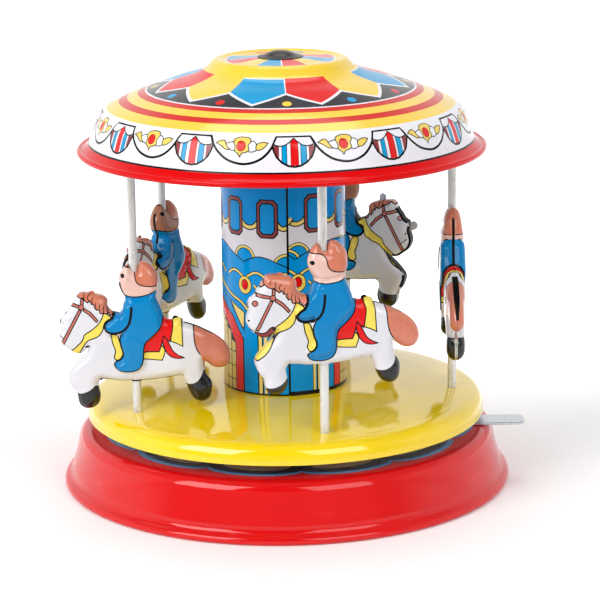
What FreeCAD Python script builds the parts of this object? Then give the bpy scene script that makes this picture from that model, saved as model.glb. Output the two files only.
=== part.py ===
import FreeCAD, Part
import os
import math

V = FreeCAD.Vector

# ----------------------------------------------------------------------------
# Wind-up printed-tin carousel with a musical movement in its base.
# Millimetres, +Z up, origin on the table under the middle of the base.
# The photo's view is from -Y, so +X is to the right of the object.
# ----------------------------------------------------------------------------

# base
foot_r = 84.0            # outer radius of the hemmed foot
deck_z = 21.0            # top of the base deck
tin = 0.5                # sheet of the base shell
thin_tin = 0.4           # sheet of the turntable, column, roof and figures
shoulder_r = 4.5         # rounding between deck and skirt
skirt_top_r = 78.2
skirt_low_r = 80.9

# turntable
platform_r = 74.5
platform_top_z = 36.6    # flat middle of the domed disc
platform_flat_r = 24.0
platform_dome = 0.0016   # drop = platform_dome * (r - platform_flat_r)^2
platform_low_z = 26.2
column_r = 23.1
ceiling_z = 128.5        # underside of the plate below the roof
ceiling_r = 69.9
spindle_r = 2.0
roof_top_z = 158.9
cap_top_z = 161.3

# poles and figures
pole_count = 5
pole_circle_r = 62.7
pole_first_az = -149.5   # pole_1, then +72 degrees each
pole_r = 1.6
pole_bore_r = 1.15
run_clear = 0.06         # running clearance round the poles
# direction of each nose, seen from above, and height of each belly line
headings = [181.0, 191.0, 89.2, -20.0, 238.5]
belly_z = [46.3, 59.5, 59.6, 61.5, 53.2]
figure_half = 5.3        # depth of one stamped half
figure_gap = 0.05        # half of the seam between the halves

# movement
barrel_teeth, drum_pinion_teeth, module_1 = 48, 12, 0.75
wheel_teeth, pinion_teeth, module_2 = 32, 8, 0.6
train_angle = -20.5      # direction of the drum from the spindle
centre_play = 0.05       # extra centre distance in each mesh
drum_r = 7.0
pin_len = 0.5
arbor_r = 0.8
pivot_clear = 0.04
bed_z0, bed_z1 = 7.0, 8.0
top_z0, top_z1 = 18.5, 19.3
plate_box = (-22.0, -36.0, 58.0, 22.0)
pillar_xy = [(-18, 18), (-18, -31), (54, 17), (54, -31)]
base_pillar_az = [70, 190, 310]
base_pillar_r = 66.0

# stop lever
lever_pivot = (62.0, -8.0)
lever_z0, lever_z1 = 21.2, 22.1

OUT = {}


# ----------------------------------------------------------------------------
# helpers
# ----------------------------------------------------------------------------
def revolve(pts, angle=360.0):
    """Solid of revolution about Z from a closed (r, z) outline."""
    w = Part.makePolygon([V(r, 0, z) for r, z in pts] + [V(pts[0][0], 0, pts[0][1])])
    return Part.Face(w).revolve(V(0, 0, 0), V(0, 0, 1), angle)


def prism(pts, z0, z1):
    """Upright prism from a closed (x, y) outline."""
    w = Part.makePolygon([V(x, y, z0) for x, y in pts] + [V(pts[0][0], pts[0][1], z0)])
    return Part.Face(w).extrude(V(0, 0, z1 - z0))


def cyl(r, z0, z1, x=0.0, y=0.0):
    return Part.makeCylinder(r, z1 - z0, V(x, y, z0), V(0, 0, 1))


def box(x0, y0, z0, x1, y1, z1):
    return Part.makeBox(x1 - x0, y1 - y0, z1 - z0, V(x0, y0, z0))


def arc_pts(cx, cz, r, a0, a1, n):
    return [(cx + r * math.cos(math.radians(a0 + (a1 - a0) * i / n)),
             cz + r * math.sin(math.radians(a0 + (a1 - a0) * i / n))) for i in range(n + 1)]


def offset_line(pts, t):
    """Open polyline moved by t to its right, with mitred corners."""
    out = []
    n = len(pts)
    for i in range(n):
        d = []
        if i > 0:
            d.append((pts[i][0] - pts[i - 1][0], pts[i][1] - pts[i - 1][1]))
        if i < n - 1:
            d.append((pts[i + 1][0] - pts[i][0], pts[i + 1][1] - pts[i][1]))
        nn = []
        for dx, dy in d:
            l = math.hypot(dx, dy)
            nn.append((dy / l, -dx / l))
        if len(nn) == 1:
            nx, ny = nn[0]
            k = t
        else:
            nx, ny = nn[0][0] + nn[1][0], nn[0][1] + nn[1][1]
            l = math.hypot(nx, ny)
            nx, ny = nx / l, ny / l
            k = t / (nx * nn[0][0] + ny * nn[0][1])
        out.append((pts[i][0] + nx * k, pts[i][1] + ny * k))
    return out


def rounded_rect(x0, y0, x1, y1, r, n=6):
    pts = []
    for cx, cy, a in ((x1 - r, y0 + r, -90), (x1 - r, y1 - r, 0), (x0 + r, y1 - r, 90), (x0 + r, y0 + r, 180)):
        pts += arc_pts(cx, cy, r, a, a + 90, n)
    return pts


def gear_pts(teeth, module, phase_deg, add=0.85, ded=1.2, thin=0.16):
    """Outline of a spur gear with straight-sided facets along each involute flank.
    phase_deg is the direction of the middle of one tooth."""
    rp = teeth * module / 2.0
    rb = rp * math.cos(math.radians(20))
    ra = rp + add * module
    rr = rp - ded * module

    def inv(r):
        if r <= rb:
            return 0.0
        a = math.acos(rb / r)
        return math.tan(a) - a
    half = (math.pi * module / 2.0 - thin) / 2.0 / rp
    pts = []
    for k in range(teeth):
        c = math.radians(phase_deg) + 2 * math.pi * k / teeth
        rs = [rr + (ra - rr) * f for f in (0.0, 0.35, 0.6, 0.8, 1.0)]
        fl = []
        for r in rs:
            fl.append((r, half + inv(rp) - inv(r)))
        for r, h in fl:
            pts.append((r * math.cos(c - h), r * math.sin(c - h)))
        for r, h in reversed(fl):
            pts.append((r * math.cos(c + h), r * math.sin(c + h)))
    return pts


def gear(teeth, module, phase_deg, z0, z1, bore, x=0.0, y=0.0):
    pts = [(px + x, py + y) for px, py in gear_pts(teeth, module, phase_deg)]
    return prism(pts, z0, z1).cut(cyl(bore, z0 - 1, z1 + 1, x, y))


def screw(x, y, z_seat, shank_r, head_r, head_h, length, up):
    """Round-headed slotted screw; up is the way the shank points."""
    if up:
        s = cyl(shank_r, z_seat, z_seat + length, x, y)
        h = cyl(head_r, z_seat - head_h, z_seat, x, y)
        slot = box(x - head_r - 1, y - 0.25, z_seat - head_h - 1, x + head_r + 1, y + 0.25, z_seat - head_h * 0.5)
    else:
        s = cyl(shank_r, z_seat - length, z_seat, x, y)
        h = cyl(head_r, z_seat, z_seat + head_h, x, y)
        slot = box(x - head_r - 1, y - 0.25, z_seat + head_h * 0.5, x + head_r + 1, y + 0.25, z_seat + head_h + 1)
    return s.fuse(h.cut(slot)).removeSplitter()


def polar(r, az):
    return r * math.cos(math.radians(az)), r * math.sin(math.radians(az))


# ----------------------------------------------------------------------------
# base: drawn shell, closing plate, pillars
# ----------------------------------------------------------------------------
outer = [(5.0, deck_z)] + arc_pts(skirt_top_r - shoulder_r, deck_z - shoulder_r, shoulder_r, 90, 8, 10)
outer += [(skirt_low_r, 6.2), (81.2, 4.4), (81.6, 3.7), (82.4, 3.15), (83.3, 2.7), (83.85, 2.05), (foot_r, 1.3),
          (83.85, 0.6), (83.45, 0.12), (83.0, 0.0), (81.9, 0.0), (81.4, 0.12), (81.0, 0.6)]
inner = offset_line(outer[:13], tin)
base = revolve(outer + [(80.9, 2.6), (80.8, 3.9)] + inner[::-1])
lx, ly = lever_pivot
base = base.cut(cyl(1.5, 15, 25, lx, ly))
base = base.cut(box(42.6, -17.2, 15, 48.8, -11.2, 25))
OUT["base_shell"] = base

bp = revolve([(2.2, 6.6), (79.6, 6.6), (79.6, 4.6), (80.0, 4.6), (80.0, 7.0), (2.2, 7.0)])
for az in base_pillar_az:
    x, y = polar(base_pillar_r, az)
    bp = bp.cut(cyl(1.25, 0, 10, x, y))
for x, y in pillar_xy:
    bp = bp.cut(cyl(1.05, 0, 10, x, y))
OUT["bottom_plate"] = bp

OUT["base_pillars"] = Part.makeCompound(
    [cyl(2.6, 7.0, deck_z - tin, *polar(base_pillar_r, az)).cut(cyl(1.2, 6, 16, *polar(base_pillar_r, az)))
     for az in base_pillar_az])
OUT["bottom_screws"] = Part.makeCompound(
    [screw(*polar(base_pillar_r, az), 6.6, 1.2, 2.4, 1.3, 8.0, True) for az in base_pillar_az])

# ----------------------------------------------------------------------------
# movement: plates and their pillars
# ----------------------------------------------------------------------------
drum_xy = polar(module_1 * (barrel_teeth + drum_pinion_teeth) / 2.0 + centre_play, train_angle)
step = module_2 * (wheel_teeth + pinion_teeth) / 2.0 + centre_play
idler_xy = (drum_xy[0] + step, drum_xy[1])
fan_xy = (idler_xy[0] + step, idler_xy[1])

plate = rounded_rect(*plate_box, 4.0)
bed = prism(plate, bed_z0, bed_z1).cut(cyl(1.54, 0, 30))
top = prism(plate, top_z0, top_z1).cut(cyl(3.4, 0, 30))
for x, y in (drum_xy, idler_xy, fan_xy):
    bed = bed.cut(cyl(arbor_r + pivot_clear, 0, 30, x, y))
    top = top.cut(cyl(arbor_r + pivot_clear, 0, 30, x, y))
for x, y in pillar_xy:
    bed = bed.cut(cyl(1.05, 0, 30, x, y))
    top = top.cut(cyl(1.05, 0, 30, x, y))
OUT["movement_bedplate"] = bed
OUT["movement_top_plate"] = top
OUT["movement_pillars"] = Part.makeCompound(
    [cyl(2.0, bed_z1, top_z0, x, y).cut(cyl(1.0, 0, 30, x, y)) for x, y in pillar_xy])
OUT["movement_screws"] = Part.makeCompound(
    [screw(x, y, 6.6, 1.0, 2.0, 1.2, 4.6, True) for x, y in pillar_xy])
OUT["pillar_screws"] = Part.makeCompound(
    [screw(x, y, top_z1, 1.0, 1.9, 0.8, 4.6, False) for x, y in pillar_xy])

# ----------------------------------------------------------------------------
# winding: key, arbor, one-way wrap spring
# ----------------------------------------------------------------------------
arbor = cyl(1.5, 1.6, 14.6).fuse(cyl(2.6, 11.5, 14.6)).removeSplitter()
OUT["winding_arbor"] = arbor
wing = rounded_rect(-15.0, 1.0, 15.0, 6.0, 2.2)
w = Part.makePolygon([V(x, -0.6, z) for x, z in wing] + [V(wing[0][0], -0.6, wing[0][1])])
key = Part.Face(w).extrude(V(0, 1.2, 0)).fuse(cyl(2.7, 0.9, 6.2))
for sx in (-1, 1):
    key = key.cut(Part.makeCylinder(1.3, 6, V(sx * 9.5, -3, 3.5), V(0, 1, 0)))
key = key.cut(cyl(1.5, 1.6, 9))
OUT["winding_key"] = key.removeSplitter()

# wire coil of two turns, faceted, round the arbor under the great wheel
coil_r, coil_wire, coil_rise, coil_turns = 1.88, 0.28, 0.62, 2.0
n_around, n_wire = 24, 8
rings = []
for i in range(int(n_around * coil_turns) + 1):
    a = 2 * math.pi * i / n_around
    z = 8.32 + coil_rise * i / n_around
    rings.append([V((coil_r + coil_wire * math.cos(b)) * math.cos(a), (coil_r + coil_wire * math.cos(b)) * math.sin(a),
                    z + coil_wire * math.sin(b)) for b in [2 * math.pi * j / n_wire for j in range(n_wire)]])
tri = []
for p, q in zip(rings, rings[1:]):
    for j in range(n_wire):
        k = (j + 1) % n_wire
        tri.append(Part.Face(Part.makePolygon([p[j], p[k], q[k], p[j]])))
        tri.append(Part.Face(Part.makePolygon([p[j], q[k], q[j], p[j]])))
for ring in (rings[0], rings[-1]):
    tri.append(Part.Face(Part.makePolygon(ring + ring[:1])))
coil = Part.Solid(Part.Shell(tri))
if coil.Volume < 0:
    coil.reverse()
OUT["clutch_spring"] = coil

# ----------------------------------------------------------------------------
# spring barrel with its great wheel, cover and mainspring (turn with the spindle)
# ----------------------------------------------------------------------------
wheel = gear(barrel_teeth, module_1, train_angle, 9.9, 11.1, 1.55)
wall = cyl(14.2, 11.1, 15.2).cut(cyl(13.7, 11.1, 16))
OUT["spring_barrel"] = wheel.fuse(wall).removeSplitter()
OUT["barrel_cover"] = cyl(14.2, 15.2, 15.8).cut(cyl(1.2, 15, 16))
sp_in, sp_out, sp_turns, sp_t = 2.75, 13.2, 5.0, 0.4
ns = 120
a_side, b_side = [], []
for i in range(ns + 1):
    a = 2 * math.pi * sp_turns * i / ns
    r = sp_in + (sp_out - sp_in) * i / ns
    a_side.append((r * math.cos(a), r * math.sin(a)))
    b_side.append(((r + sp_t) * math.cos(a), (r + sp_t) * math.sin(a)))
OUT["mainspring"] = prism(a_side + b_side[::-1], 11.5, 14.8)

# ----------------------------------------------------------------------------
# musical drum and speed-up train
# ----------------------------------------------------------------------------
dx, dy = drum_xy
drum = cyl(drum_r, 11.4, 15.9, dx, dy).cut(cyl(drum_r - 0.6, 11.9, 15.4, dx, dy)).cut(cyl(arbor_r, 0, 30, dx, dy))
notes = 6
note_z = [11.95 + 0.68 * i for i in range(notes)]
pins = []
seq = [0, 3, 1, 4, 2, 5, 3, 1, 0, 4, 5, 2, 1, 3, 0, 2, 4, 5, 3, 0, 1, 5, 2, 4]
for k, n in enumerate(seq):
    a = 360.0 * (k + 0.5) / len(seq)
    ca, sa = math.cos(math.radians(a)), math.sin(math.radians(a))
    pins.append(Part.makeCylinder(0.2, pin_len + 0.3, V(dx + (drum_r - 0.3) * ca, dy + (drum_r - 0.3) * sa, note_z[n]),
                                  V(ca, sa, 0)))
OUT["pin_drum"] = drum.fuse(pins).removeSplitter()
OUT["drum_arbor"] = cyl(arbor_r, 7.1, 19.2, dx, dy)
# a gap of the pinion faces the tooth of the great wheel that lies on the line of centres
OUT["drum_pinion"] = gear(drum_pinion_teeth, module_1, train_angle + 180 + 180.0 / drum_pinion_teeth, 9.8, 11.2,
                          arbor_r, dx, dy)
OUT["drum_wheel"] = gear(wheel_teeth, module_2, 0, 16.2, 17.0, arbor_r, dx, dy)
ix, iy = idler_xy
OUT["idler_arbor"] = cyl(arbor_r, 7.1, 19.2, ix, iy)
OUT["idler_pinion"] = gear(pinion_teeth, module_2, 180 + 180.0 / pinion_teeth, 16.1, 17.1, arbor_r, ix, iy)
OUT["idler_wheel"] = gear(wheel_teeth, module_2, 0, 17.3, 18.1, arbor_r, ix, iy)
fx, fy = fan_xy
OUT["governor_arbor"] = cyl(arbor_r, 7.1, 20.1, fx, fy)
OUT["governor_pinion"] = gear(pinion_teeth, module_2, 180 + 180.0 / pinion_teeth, 17.2, 18.2, arbor_r, fx, fy)
fan = box(fx - 7.0, fy - 0.25, 9.8, fx + 7.0, fy + 0.25, 15.6).fuse(cyl(1.5, 9.6, 16.2, fx, fy))
OUT["governor_fan"] = fan.cut(cyl(arbor_r, 0, 30, fx, fy)).removeSplitter()
OUT["brake_disc"] = cyl(4.0, 19.55, 20.1, fx, fy).cut(cyl(arbor_r, 0, 30, fx, fy))

# tone comb: an upright steel plate whose teeth end just clear of the pins
tip_y = dy - drum_r - pin_len - 0.08
comb = box(dx - 0.35, tip_y - 15.5, 11.55, dx + 0.35, tip_y, 15.8)
for i in range(notes - 1):
    zc = note_z[i] + 0.34
    comb = comb.cut(box(dx - 1, tip_y - 8.5 + 0.4 * i, zc - 0.1, dx + 1, tip_y + 1, zc + 0.1))
bracket = box(dx + 0.35, tip_y - 15.5, bed_z1, dx + 2.6, tip_y - 9.4, 15.8).fuse(
    box(dx + 0.35, tip_y - 15.5, bed_z1, dx + 9.0, tip_y - 9.4, bed_z1 + 1.2)).removeSplitter()
cs = []
for yy in (tip_y - 14.0, tip_y - 10.9):
    hole = Part.makeCylinder(0.6, 12, V(dx - 6, yy, 13.7), V(1, 0, 0))
    comb = comb.cut(hole)
    bracket = bracket.cut(hole)
    cs.append(Part.makeCylinder(0.6, 2.9, V(dx - 0.35, yy, 13.7), V(1, 0, 0)).fuse(
        Part.makeCylinder(1.3, 0.8, V(dx - 1.15, yy, 13.7), V(1, 0, 0))).removeSplitter())
OUT["tone_comb"] = comb
OUT["comb_bracket"] = bracket
OUT["comb_screws"] = Part.makeCompound(cs)

# ----------------------------------------------------------------------------
# stop lever and its rivet
# ----------------------------------------------------------------------------
brake_face = fy - 4.0 - 0.05
tip = arc_pts(86.4, -10.4, 3.0, -90, 0, 6) + arc_pts(86.4, -5.6, 3.0, 0, 90, 6)
lever = prism(tip + [(60.0, -2.6), (57.0, -3.8), (52.0, -10.5), (43.4, brake_face), (43.4, -15.5), (52.0, -15.5),
                     (60.0, -13.4)], lever_z0, lever_z1)
lever = lever.fuse(box(43.4, brake_face - 0.9, 19.5, 46.6, brake_face, lever_z1)).removeSplitter()
OUT["stop_lever"] = lever.cut(cyl(1.56, 15, 25, lx, ly))
OUT["lever_rivet"] = revolve([(0, 19.8), (2.6, 19.8), (2.6, 20.5), (1.5, 20.5), (1.5, 22.2), (3.2, 22.2), (3.0, 22.8),
                              (2.2, 23.3), (1.1, 23.55), (0, 23.6)])
OUT["lever_rivet"].translate(V(lx, ly, 0))

# ----------------------------------------------------------------------------
# spindle, its bush, hub
# ----------------------------------------------------------------------------
OUT["deck_bush"] = revolve([(3.05, 19.8), (5.0, 19.8), (5.0, 21.0), (8.0, 21.0), (8.0, 22.0), (3.05, 22.0)])
OUT["spindle"] = revolve([(0, 15.8), (6.0, 15.8), (6.0, 16.1), (3.0, 16.1), (3.0, 22.06), (7.0, 22.06), (7.0, 24.0),
                          (spindle_r, 24.0), (spindle_r, 160.1), (0, 160.1)]).fuse(cyl(1.2, 15.2, 15.8)).removeSplitter()
OUT["platform_hub"] = revolve([(spindle_r, 24.0), (5.0, 24.0), (5.0, 34.6), (12.0, 35.2),
                               (12.0, platform_top_z - thin_tin), (spindle_r, platform_top_z - thin_tin)])

# ----------------------------------------------------------------------------
# platform
# ----------------------------------------------------------------------------
def platform_z(r):
    return platform_top_z - platform_dome * max(0.0, r - platform_flat_r) ** 2


prof = [(spindle_r, platform_top_z), (platform_flat_r, platform_top_z)]
prof += [(r, platform_z(r)) for r in (28, 32, 36, 40, 44, 48, 52, 56, 60, 64, 67, 69)]
prof += [(70.4, 33.05), (71.6, 32.6), (72.7, 31.9), (73.5, 31.0), (74.05, 29.9), (74.35, 28.7), (platform_r, 27.4),
         (platform_r, platform_low_z)]
inner = offset_line(prof, thin_tin)
plat = revolve(prof + inner[::-1])
tabs, slots = [], []
for az in (35, 125, 215, 305):
    m = FreeCAD.Placement(V(0, 0, 0), FreeCAD.Rotation(V(0, 0, 1), az))
    t = box(column_r - 0.36, -2.5, platform_top_z - 1.8, column_r - 0.02, 2.5, platform_top_z + 0.5)
    u = box(column_r - 0.36, -2.5, ceiling_z - 0.5, column_r - 0.02, 2.5, ceiling_z + 1.6)
    s = box(column_r - 0.75, -2.8, platform_top_z - 3, column_r + 0.3, 2.8, platform_top_z + 3)
    q = box(column_r - 0.75, -2.8, ceiling_z - 3, column_r + 0.3, 2.8, ceiling_z + 3)
    for b in (t, u, s, q):
        b.Placement = m.multiply(b.Placement)
    tabs += [t, u]
    slots.append((s, q))
poles_xy = [polar(pole_circle_r, pole_first_az + 72.0 * i) for i in range(pole_count)]
ceil = revolve([(spindle_r, ceiling_z), (ceiling_r, ceiling_z), (ceiling_r, ceiling_z + thin_tin),
                (spindle_r, ceiling_z + thin_tin)])
for x, y in poles_xy:
    plat = plat.cut(cyl(pole_r + run_clear, 20, 40, x, y))
    ceil = ceil.cut(cyl(pole_r + run_clear, 120, 140, x, y))
for s, q in slots:
    plat = plat.cut(s)
    ceil = ceil.cut(q)
OUT["platform"] = plat
OUT["ceiling_plate"] = ceil

# ----------------------------------------------------------------------------
# column: rolled tube with a lap seam and bent tabs at both ends
# ----------------------------------------------------------------------------
tube = revolve([(column_r - thin_tin, platform_top_z), (column_r, platform_top_z), (column_r, ceiling_z),
                (column_r - thin_tin, ceiling_z)])
lap = revolve([(column_r - 0.1, platform_top_z + 0.5), (column_r + 0.3, platform_top_z + 0.5),
               (column_r + 0.3, ceiling_z - 0.5), (column_r - 0.1, ceiling_z - 0.5)], 7.0)
lap.rotate(V(0, 0, 0), V(0, 0, 1), -87.5)
OUT["column"] = tube.fuse([lap] + tabs).removeSplitter()

# ----------------------------------------------------------------------------
# roof canopy and cap nut
# ----------------------------------------------------------------------------
roof_prof = [(spindle_r, roof_top_z), (9.0, roof_top_z), (19.4, 158.1), (20.4, 158.15), (21.5, 158.55), (22.7, 158.8),
             (23.8, 158.65), (24.9, 158.0), (26.0, 156.8), (27.0, 155.75), (28.5, 154.85), (39.0, 151.4), (49.1, 147.9), (56.3, 145.2), (61.0, 143.2), (64.0, 141.8),
             (65.6, 140.7), (66.9, 139.2), (68.0, 137.2), (68.7, 135.4), (69.55, 132.8), (70.3, 130.6),
             (70.9, 129.2), (71.35, 128.55), (72.0, 127.95), (72.75, 127.35), (73.45, 126.9)]
inner = offset_line(roof_prof, thin_tin)
rolled = [(73.82, 126.97), (74.25, 127.05), (74.82, 126.9), (75.25, 126.48), (75.4, 125.9), (75.25, 125.32), (74.82, 124.9),
          (74.25, 124.75), (73.68, 124.9), (73.25, 125.32), (73.1, 125.9), (73.17, 126.29)]
OUT["roof_canopy"] = revolve(roof_prof + rolled + inner[::-1])
OUT["roof_cap"] = revolve([(0, cap_top_z), (1.8, cap_top_z - 0.1), (3.4, cap_top_z - 0.45), (4.6, cap_top_z - 0.95),
                           (5.6, cap_top_z - 1.45), (6.6, cap_top_z - 1.8), (7.6, cap_top_z - 2.05),
                           (8.35, roof_top_z + 0.2), (8.3, roof_top_z), (spindle_r, roof_top_z),
                           (spindle_r, 160.1), (0, 160.1)])

# ----------------------------------------------------------------------------
# poles: rolled tubes with a small crimped flange under the platform and above the plate
# ----------------------------------------------------------------------------
for i, (x, y) in enumerate(poles_xy):
    p = revolve([(pole_bore_r, 32.7), (2.4, 32.7), (2.4, 33.2), (pole_r, 33.2), (pole_r, ceiling_z + thin_tin + 0.25),
                 (2.4, ceiling_z + thin_tin + 0.25), (2.4, ceiling_z + thin_tin + 0.75),
                 (pole_bore_r, ceiling_z + thin_tin + 0.75)])
    p.translate(V(x, y, 0))
    OUT["pole_%d" % (i + 1)] = p

# ----------------------------------------------------------------------------
# figures: bear riding a horse, stamped in two hollow halves.
# Outline in millimetres: u from the pole axis (nose negative), w above the belly line.
# ----------------------------------------------------------------------------
outline = [
    (-1.1, 41.1), (-2.6, 43.9), (-3.8, 42.9), (-5.0, 41.0), (-5.9, 39.2), (-6.2, 37.2), (-5.9, 35.2), (-5.1, 33.2),
    (-4.2, 31.7), (-4.2, 29.7), (-4.7, 28.8), (-5.2, 26.6), (-6.2, 25.1), (-7.0, 25.3), (-8.9, 25.9), (-10.1, 27.0),
    (-10.6, 30.4), (-12.0, 31.5), (-15.4, 32.2), (-18.5, 32.6), (-20.9, 32.2), (-21.9, 31.1), (-23.4, 28.2),
    (-24.6, 26.6), (-25.4, 25.1), (-27.2, 23.7), (-27.8, 21.8), (-27.5, 20.0), (-28.1, 17.8), (-28.4, 16.0),
    (-27.8, 13.9), (-26.9, 12.4), (-25.0, 11.1), (-22.8, 9.8), (-20.6, 9.8), (-18.6, 11.4), (-17.9, 12.2),
    (-18.3, 10.6), (-21.9, 6.7), (-24.6, 3.6), (-25.5, 2.2), (-25.7, 1.2), (-25.2, -1.0), (-24.3, -3.0),
    (-22.7, -4.8), (-22.4, -6.4), (-22.0, -8.6), (-21.4, -9.8), (-19.9, -10.7), (-17.6, -10.7), (-15.8, -9.8),
    (-14.5, -8.1), (-14.1, -5.8), (-14.5, -3.8), (-14.7, -1.2), (-13.6, 0.4), (-10.5, 0.1), (-6.5, -0.3), (-1.2, -0.1),
    (4.2, 0.3), (10.8, 1.4), (16.3, 2.4), (16.8, 1.3), (17.9, -1.1), (18.4, -2.9), (18.8, -3.8), (20.1, -6.0),
    (22.3, -7.3), (24.1, -7.3), (26.3, -5.8), (27.2, -2.7), (27.1, 0.0), (25.9, 2.0), (25.4, 2.5), (24.8, 5.3),
    (24.7, 8.0), (26.4, 6.9), (28.2, 5.8), (30.8, 5.6), (33.0, 6.6), (34.1, 8.4), (32.2, 15.1), (28.7, 17.8),
    (25.6, 19.3), (21.4, 21.1), (19.0, 21.8), (17.4, 22.2), (17.0, 23.5), (15.2, 24.0), (13.2, 23.1), (10.8, 23.4),
    (10.4, 23.6), (9.7, 25.3), (9.1, 27.1), (8.2, 29.3), (7.5, 31.1), (7.6, 32.9), (8.2, 36.0), (8.2, 38.6),
    (7.7, 41.2), (6.1, 43.4), (4.7, 44.5), (2.9, 44.9), (1.8, 44.5), (1.3, 42.9), (1.0, 41.3),
]


def level(u, w):
    """The outline was taken from a slightly turned figure: square it up."""
    w = w - 0.0475 * u
    if w > 20:
        w = w - 0.03 * (w - 20)
    return 0.98 * u + 0.55, w


outline = [level(u, w) for u, w in outline]
# tongues that hold the halves together stand out of the seam of the right half:
# place on the outline, direction, reach, half width
tongues = [((-16.2, 32.3), 95.0, 0.9, 1.15), ((-27.4, 21.4), 160.0, 0.9, 1.15), ((14.4, 23.7), 85.0, 0.8, 1.2),
           ((-13.9, 0.1), -60.0, 0.7, 1.1)]
tongue_inset = 0.06
tongue_t = 0.38
face = Part.Face(Part.makePolygon([V(a, b, 0) for a, b in outline + outline[:1]]))
cavity = face.makeOffset2D(-thin_tin, 0)
half = face.extrude(V(0, 0, figure_half - figure_gap))
hollow = cavity.extrude(V(0, 0, figure_half - figure_gap - thin_tin))
shell = half.cut(hollow)
if shell.ShapeType == "Compound":
    shell = max(shell.Solids, key=lambda s: s.Volume)
# stand the outline up: u stays along X, w becomes Z, the depth runs along -Y
shell.rotate(V(0, 0, 0), V(1, 0, 0), 90)
shell.translate(V(0, -figure_gap, 0))
shell = shell.cut(cyl(pole_r + run_clear, -30, 60))
if shell.ShapeType == "Compound":
    shell = max(shell.Solids, key=lambda s: s.Volume)
mirror = shell.mirror(V(0, 0, 0), V(0, 1, 0))
strips = []
for (u, w), ang, reach, hw in tongues:
    u, w = level(u, w)
    prof = [(-0.8, -hw), (reach - hw * 0.6, -hw), (reach, -hw * 0.4), (reach, hw * 0.4), (reach - hw * 0.6, hw), (-0.8, hw)]
    ca, sa = math.cos(math.radians(ang)), math.sin(math.radians(ang))
    pts = [V(u + ca * a - sa * b, tongue_inset, w + sa * a + ca * b) for a, b in prof]
    strips.append(Part.Face(Part.makePolygon(pts + pts[:1])).extrude(V(0, tongue_t, 0)))
mirror = mirror.fuse(strips).removeSplitter()
for i, (x, y) in enumerate(poles_xy):
    for name, s in (("left", shell), ("right", mirror)):
        c = s.copy()
        c.rotate(V(0, 0, 0), V(0, 0, 1), headings[i] - 180.0)
        c.translate(V(x, y, belly_z[i]))
        OUT["horse_%d_%s_shell" % (i + 1, name)] = c

# ----------------------------------------------------------------------------
# write one file per piece
# ----------------------------------------------------------------------------
os.makedirs("parts", exist_ok=True)
for name, shape in OUT.items():
    if not shape.isValid():
        print("invalid", name)
    shape.exportStep("parts/%s.step" % name)
    bb = shape.BoundBox
    print("%-22s solids %d vol %9.1f  x %7.2f %7.2f  y %7.2f %7.2f  z %7.2f %7.2f" % (
        name, len(shape.Solids), shape.Volume, bb.XMin, bb.XMax, bb.YMin, bb.YMax, bb.ZMin, bb.ZMax))
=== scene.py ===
import math
import bpy
import numpy as np
from mathutils import Matrix, Vector
from mathutils.geometry import delaunay_2d_cdt


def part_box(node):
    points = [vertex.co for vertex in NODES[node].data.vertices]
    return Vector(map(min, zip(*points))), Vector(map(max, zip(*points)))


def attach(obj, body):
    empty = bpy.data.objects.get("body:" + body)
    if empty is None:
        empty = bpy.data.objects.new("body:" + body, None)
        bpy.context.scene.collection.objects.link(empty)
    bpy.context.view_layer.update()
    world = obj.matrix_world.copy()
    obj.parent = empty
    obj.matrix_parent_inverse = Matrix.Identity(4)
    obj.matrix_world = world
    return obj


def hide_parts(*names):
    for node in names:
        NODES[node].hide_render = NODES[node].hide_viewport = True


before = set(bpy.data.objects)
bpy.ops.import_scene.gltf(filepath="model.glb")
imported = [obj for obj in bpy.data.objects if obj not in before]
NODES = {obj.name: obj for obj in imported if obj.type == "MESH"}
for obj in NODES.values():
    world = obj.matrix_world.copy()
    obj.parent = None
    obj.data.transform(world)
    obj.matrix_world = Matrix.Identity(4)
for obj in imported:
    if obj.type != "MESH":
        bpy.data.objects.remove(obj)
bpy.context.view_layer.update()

# ---------------------------------------------------------------------------
# Printed-tin carousel: lengths in the tables are millimetres, as in the model.
# Azimuths are degrees about the spindle, -90 at the front.
# ---------------------------------------------------------------------------
MM = 0.001
DEG = math.pi / 180.0


def lin(rgb):
    out = []
    for c in rgb:
        c = c / 255.0
        out.append(c / 12.92 if c <= 0.04045 else ((c + 0.055) / 1.055) ** 2.4)
    return out


# ---------------------------------------------------------------------------
# materials
# ---------------------------------------------------------------------------
def new_material(name):
    m = bpy.data.materials.new(name)
    m.use_nodes = True
    return m, m.node_tree.nodes, m.node_tree.links, m.node_tree.nodes["Principled BSDF"]


def noise(nodes, links, vec, scale, detail=4.0, rough=0.55):
    n = nodes.new("ShaderNodeTexNoise")
    n.inputs["Scale"].default_value = scale
    n.inputs["Detail"].default_value = detail
    n.inputs["Roughness"].default_value = rough
    links.new(vec, n.inputs["Vector"])
    return n.outputs["Fac"]


def ramp(nodes, links, fac, stops):
    r = nodes.new("ShaderNodeValToRGB")
    el = r.color_ramp.elements
    while len(el) < len(stops):
        el.new(0.5)
    for e, (p, c) in zip(el, stops):
        e.position = p
        e.color = (c[0], c[1], c[2], 1.0)
    links.new(fac, r.inputs["Fac"])
    return r.outputs["Color"]


def span(nodes, links, fac, a, b, lo=0.3, hi=0.7):
    m = nodes.new("ShaderNodeMapRange")
    m.inputs["From Min"].default_value = lo
    m.inputs["From Max"].default_value = hi
    m.inputs["To Min"].default_value = a
    m.inputs["To Max"].default_value = b
    links.new(fac, m.inputs["Value"])
    return m.outputs["Result"]


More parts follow.
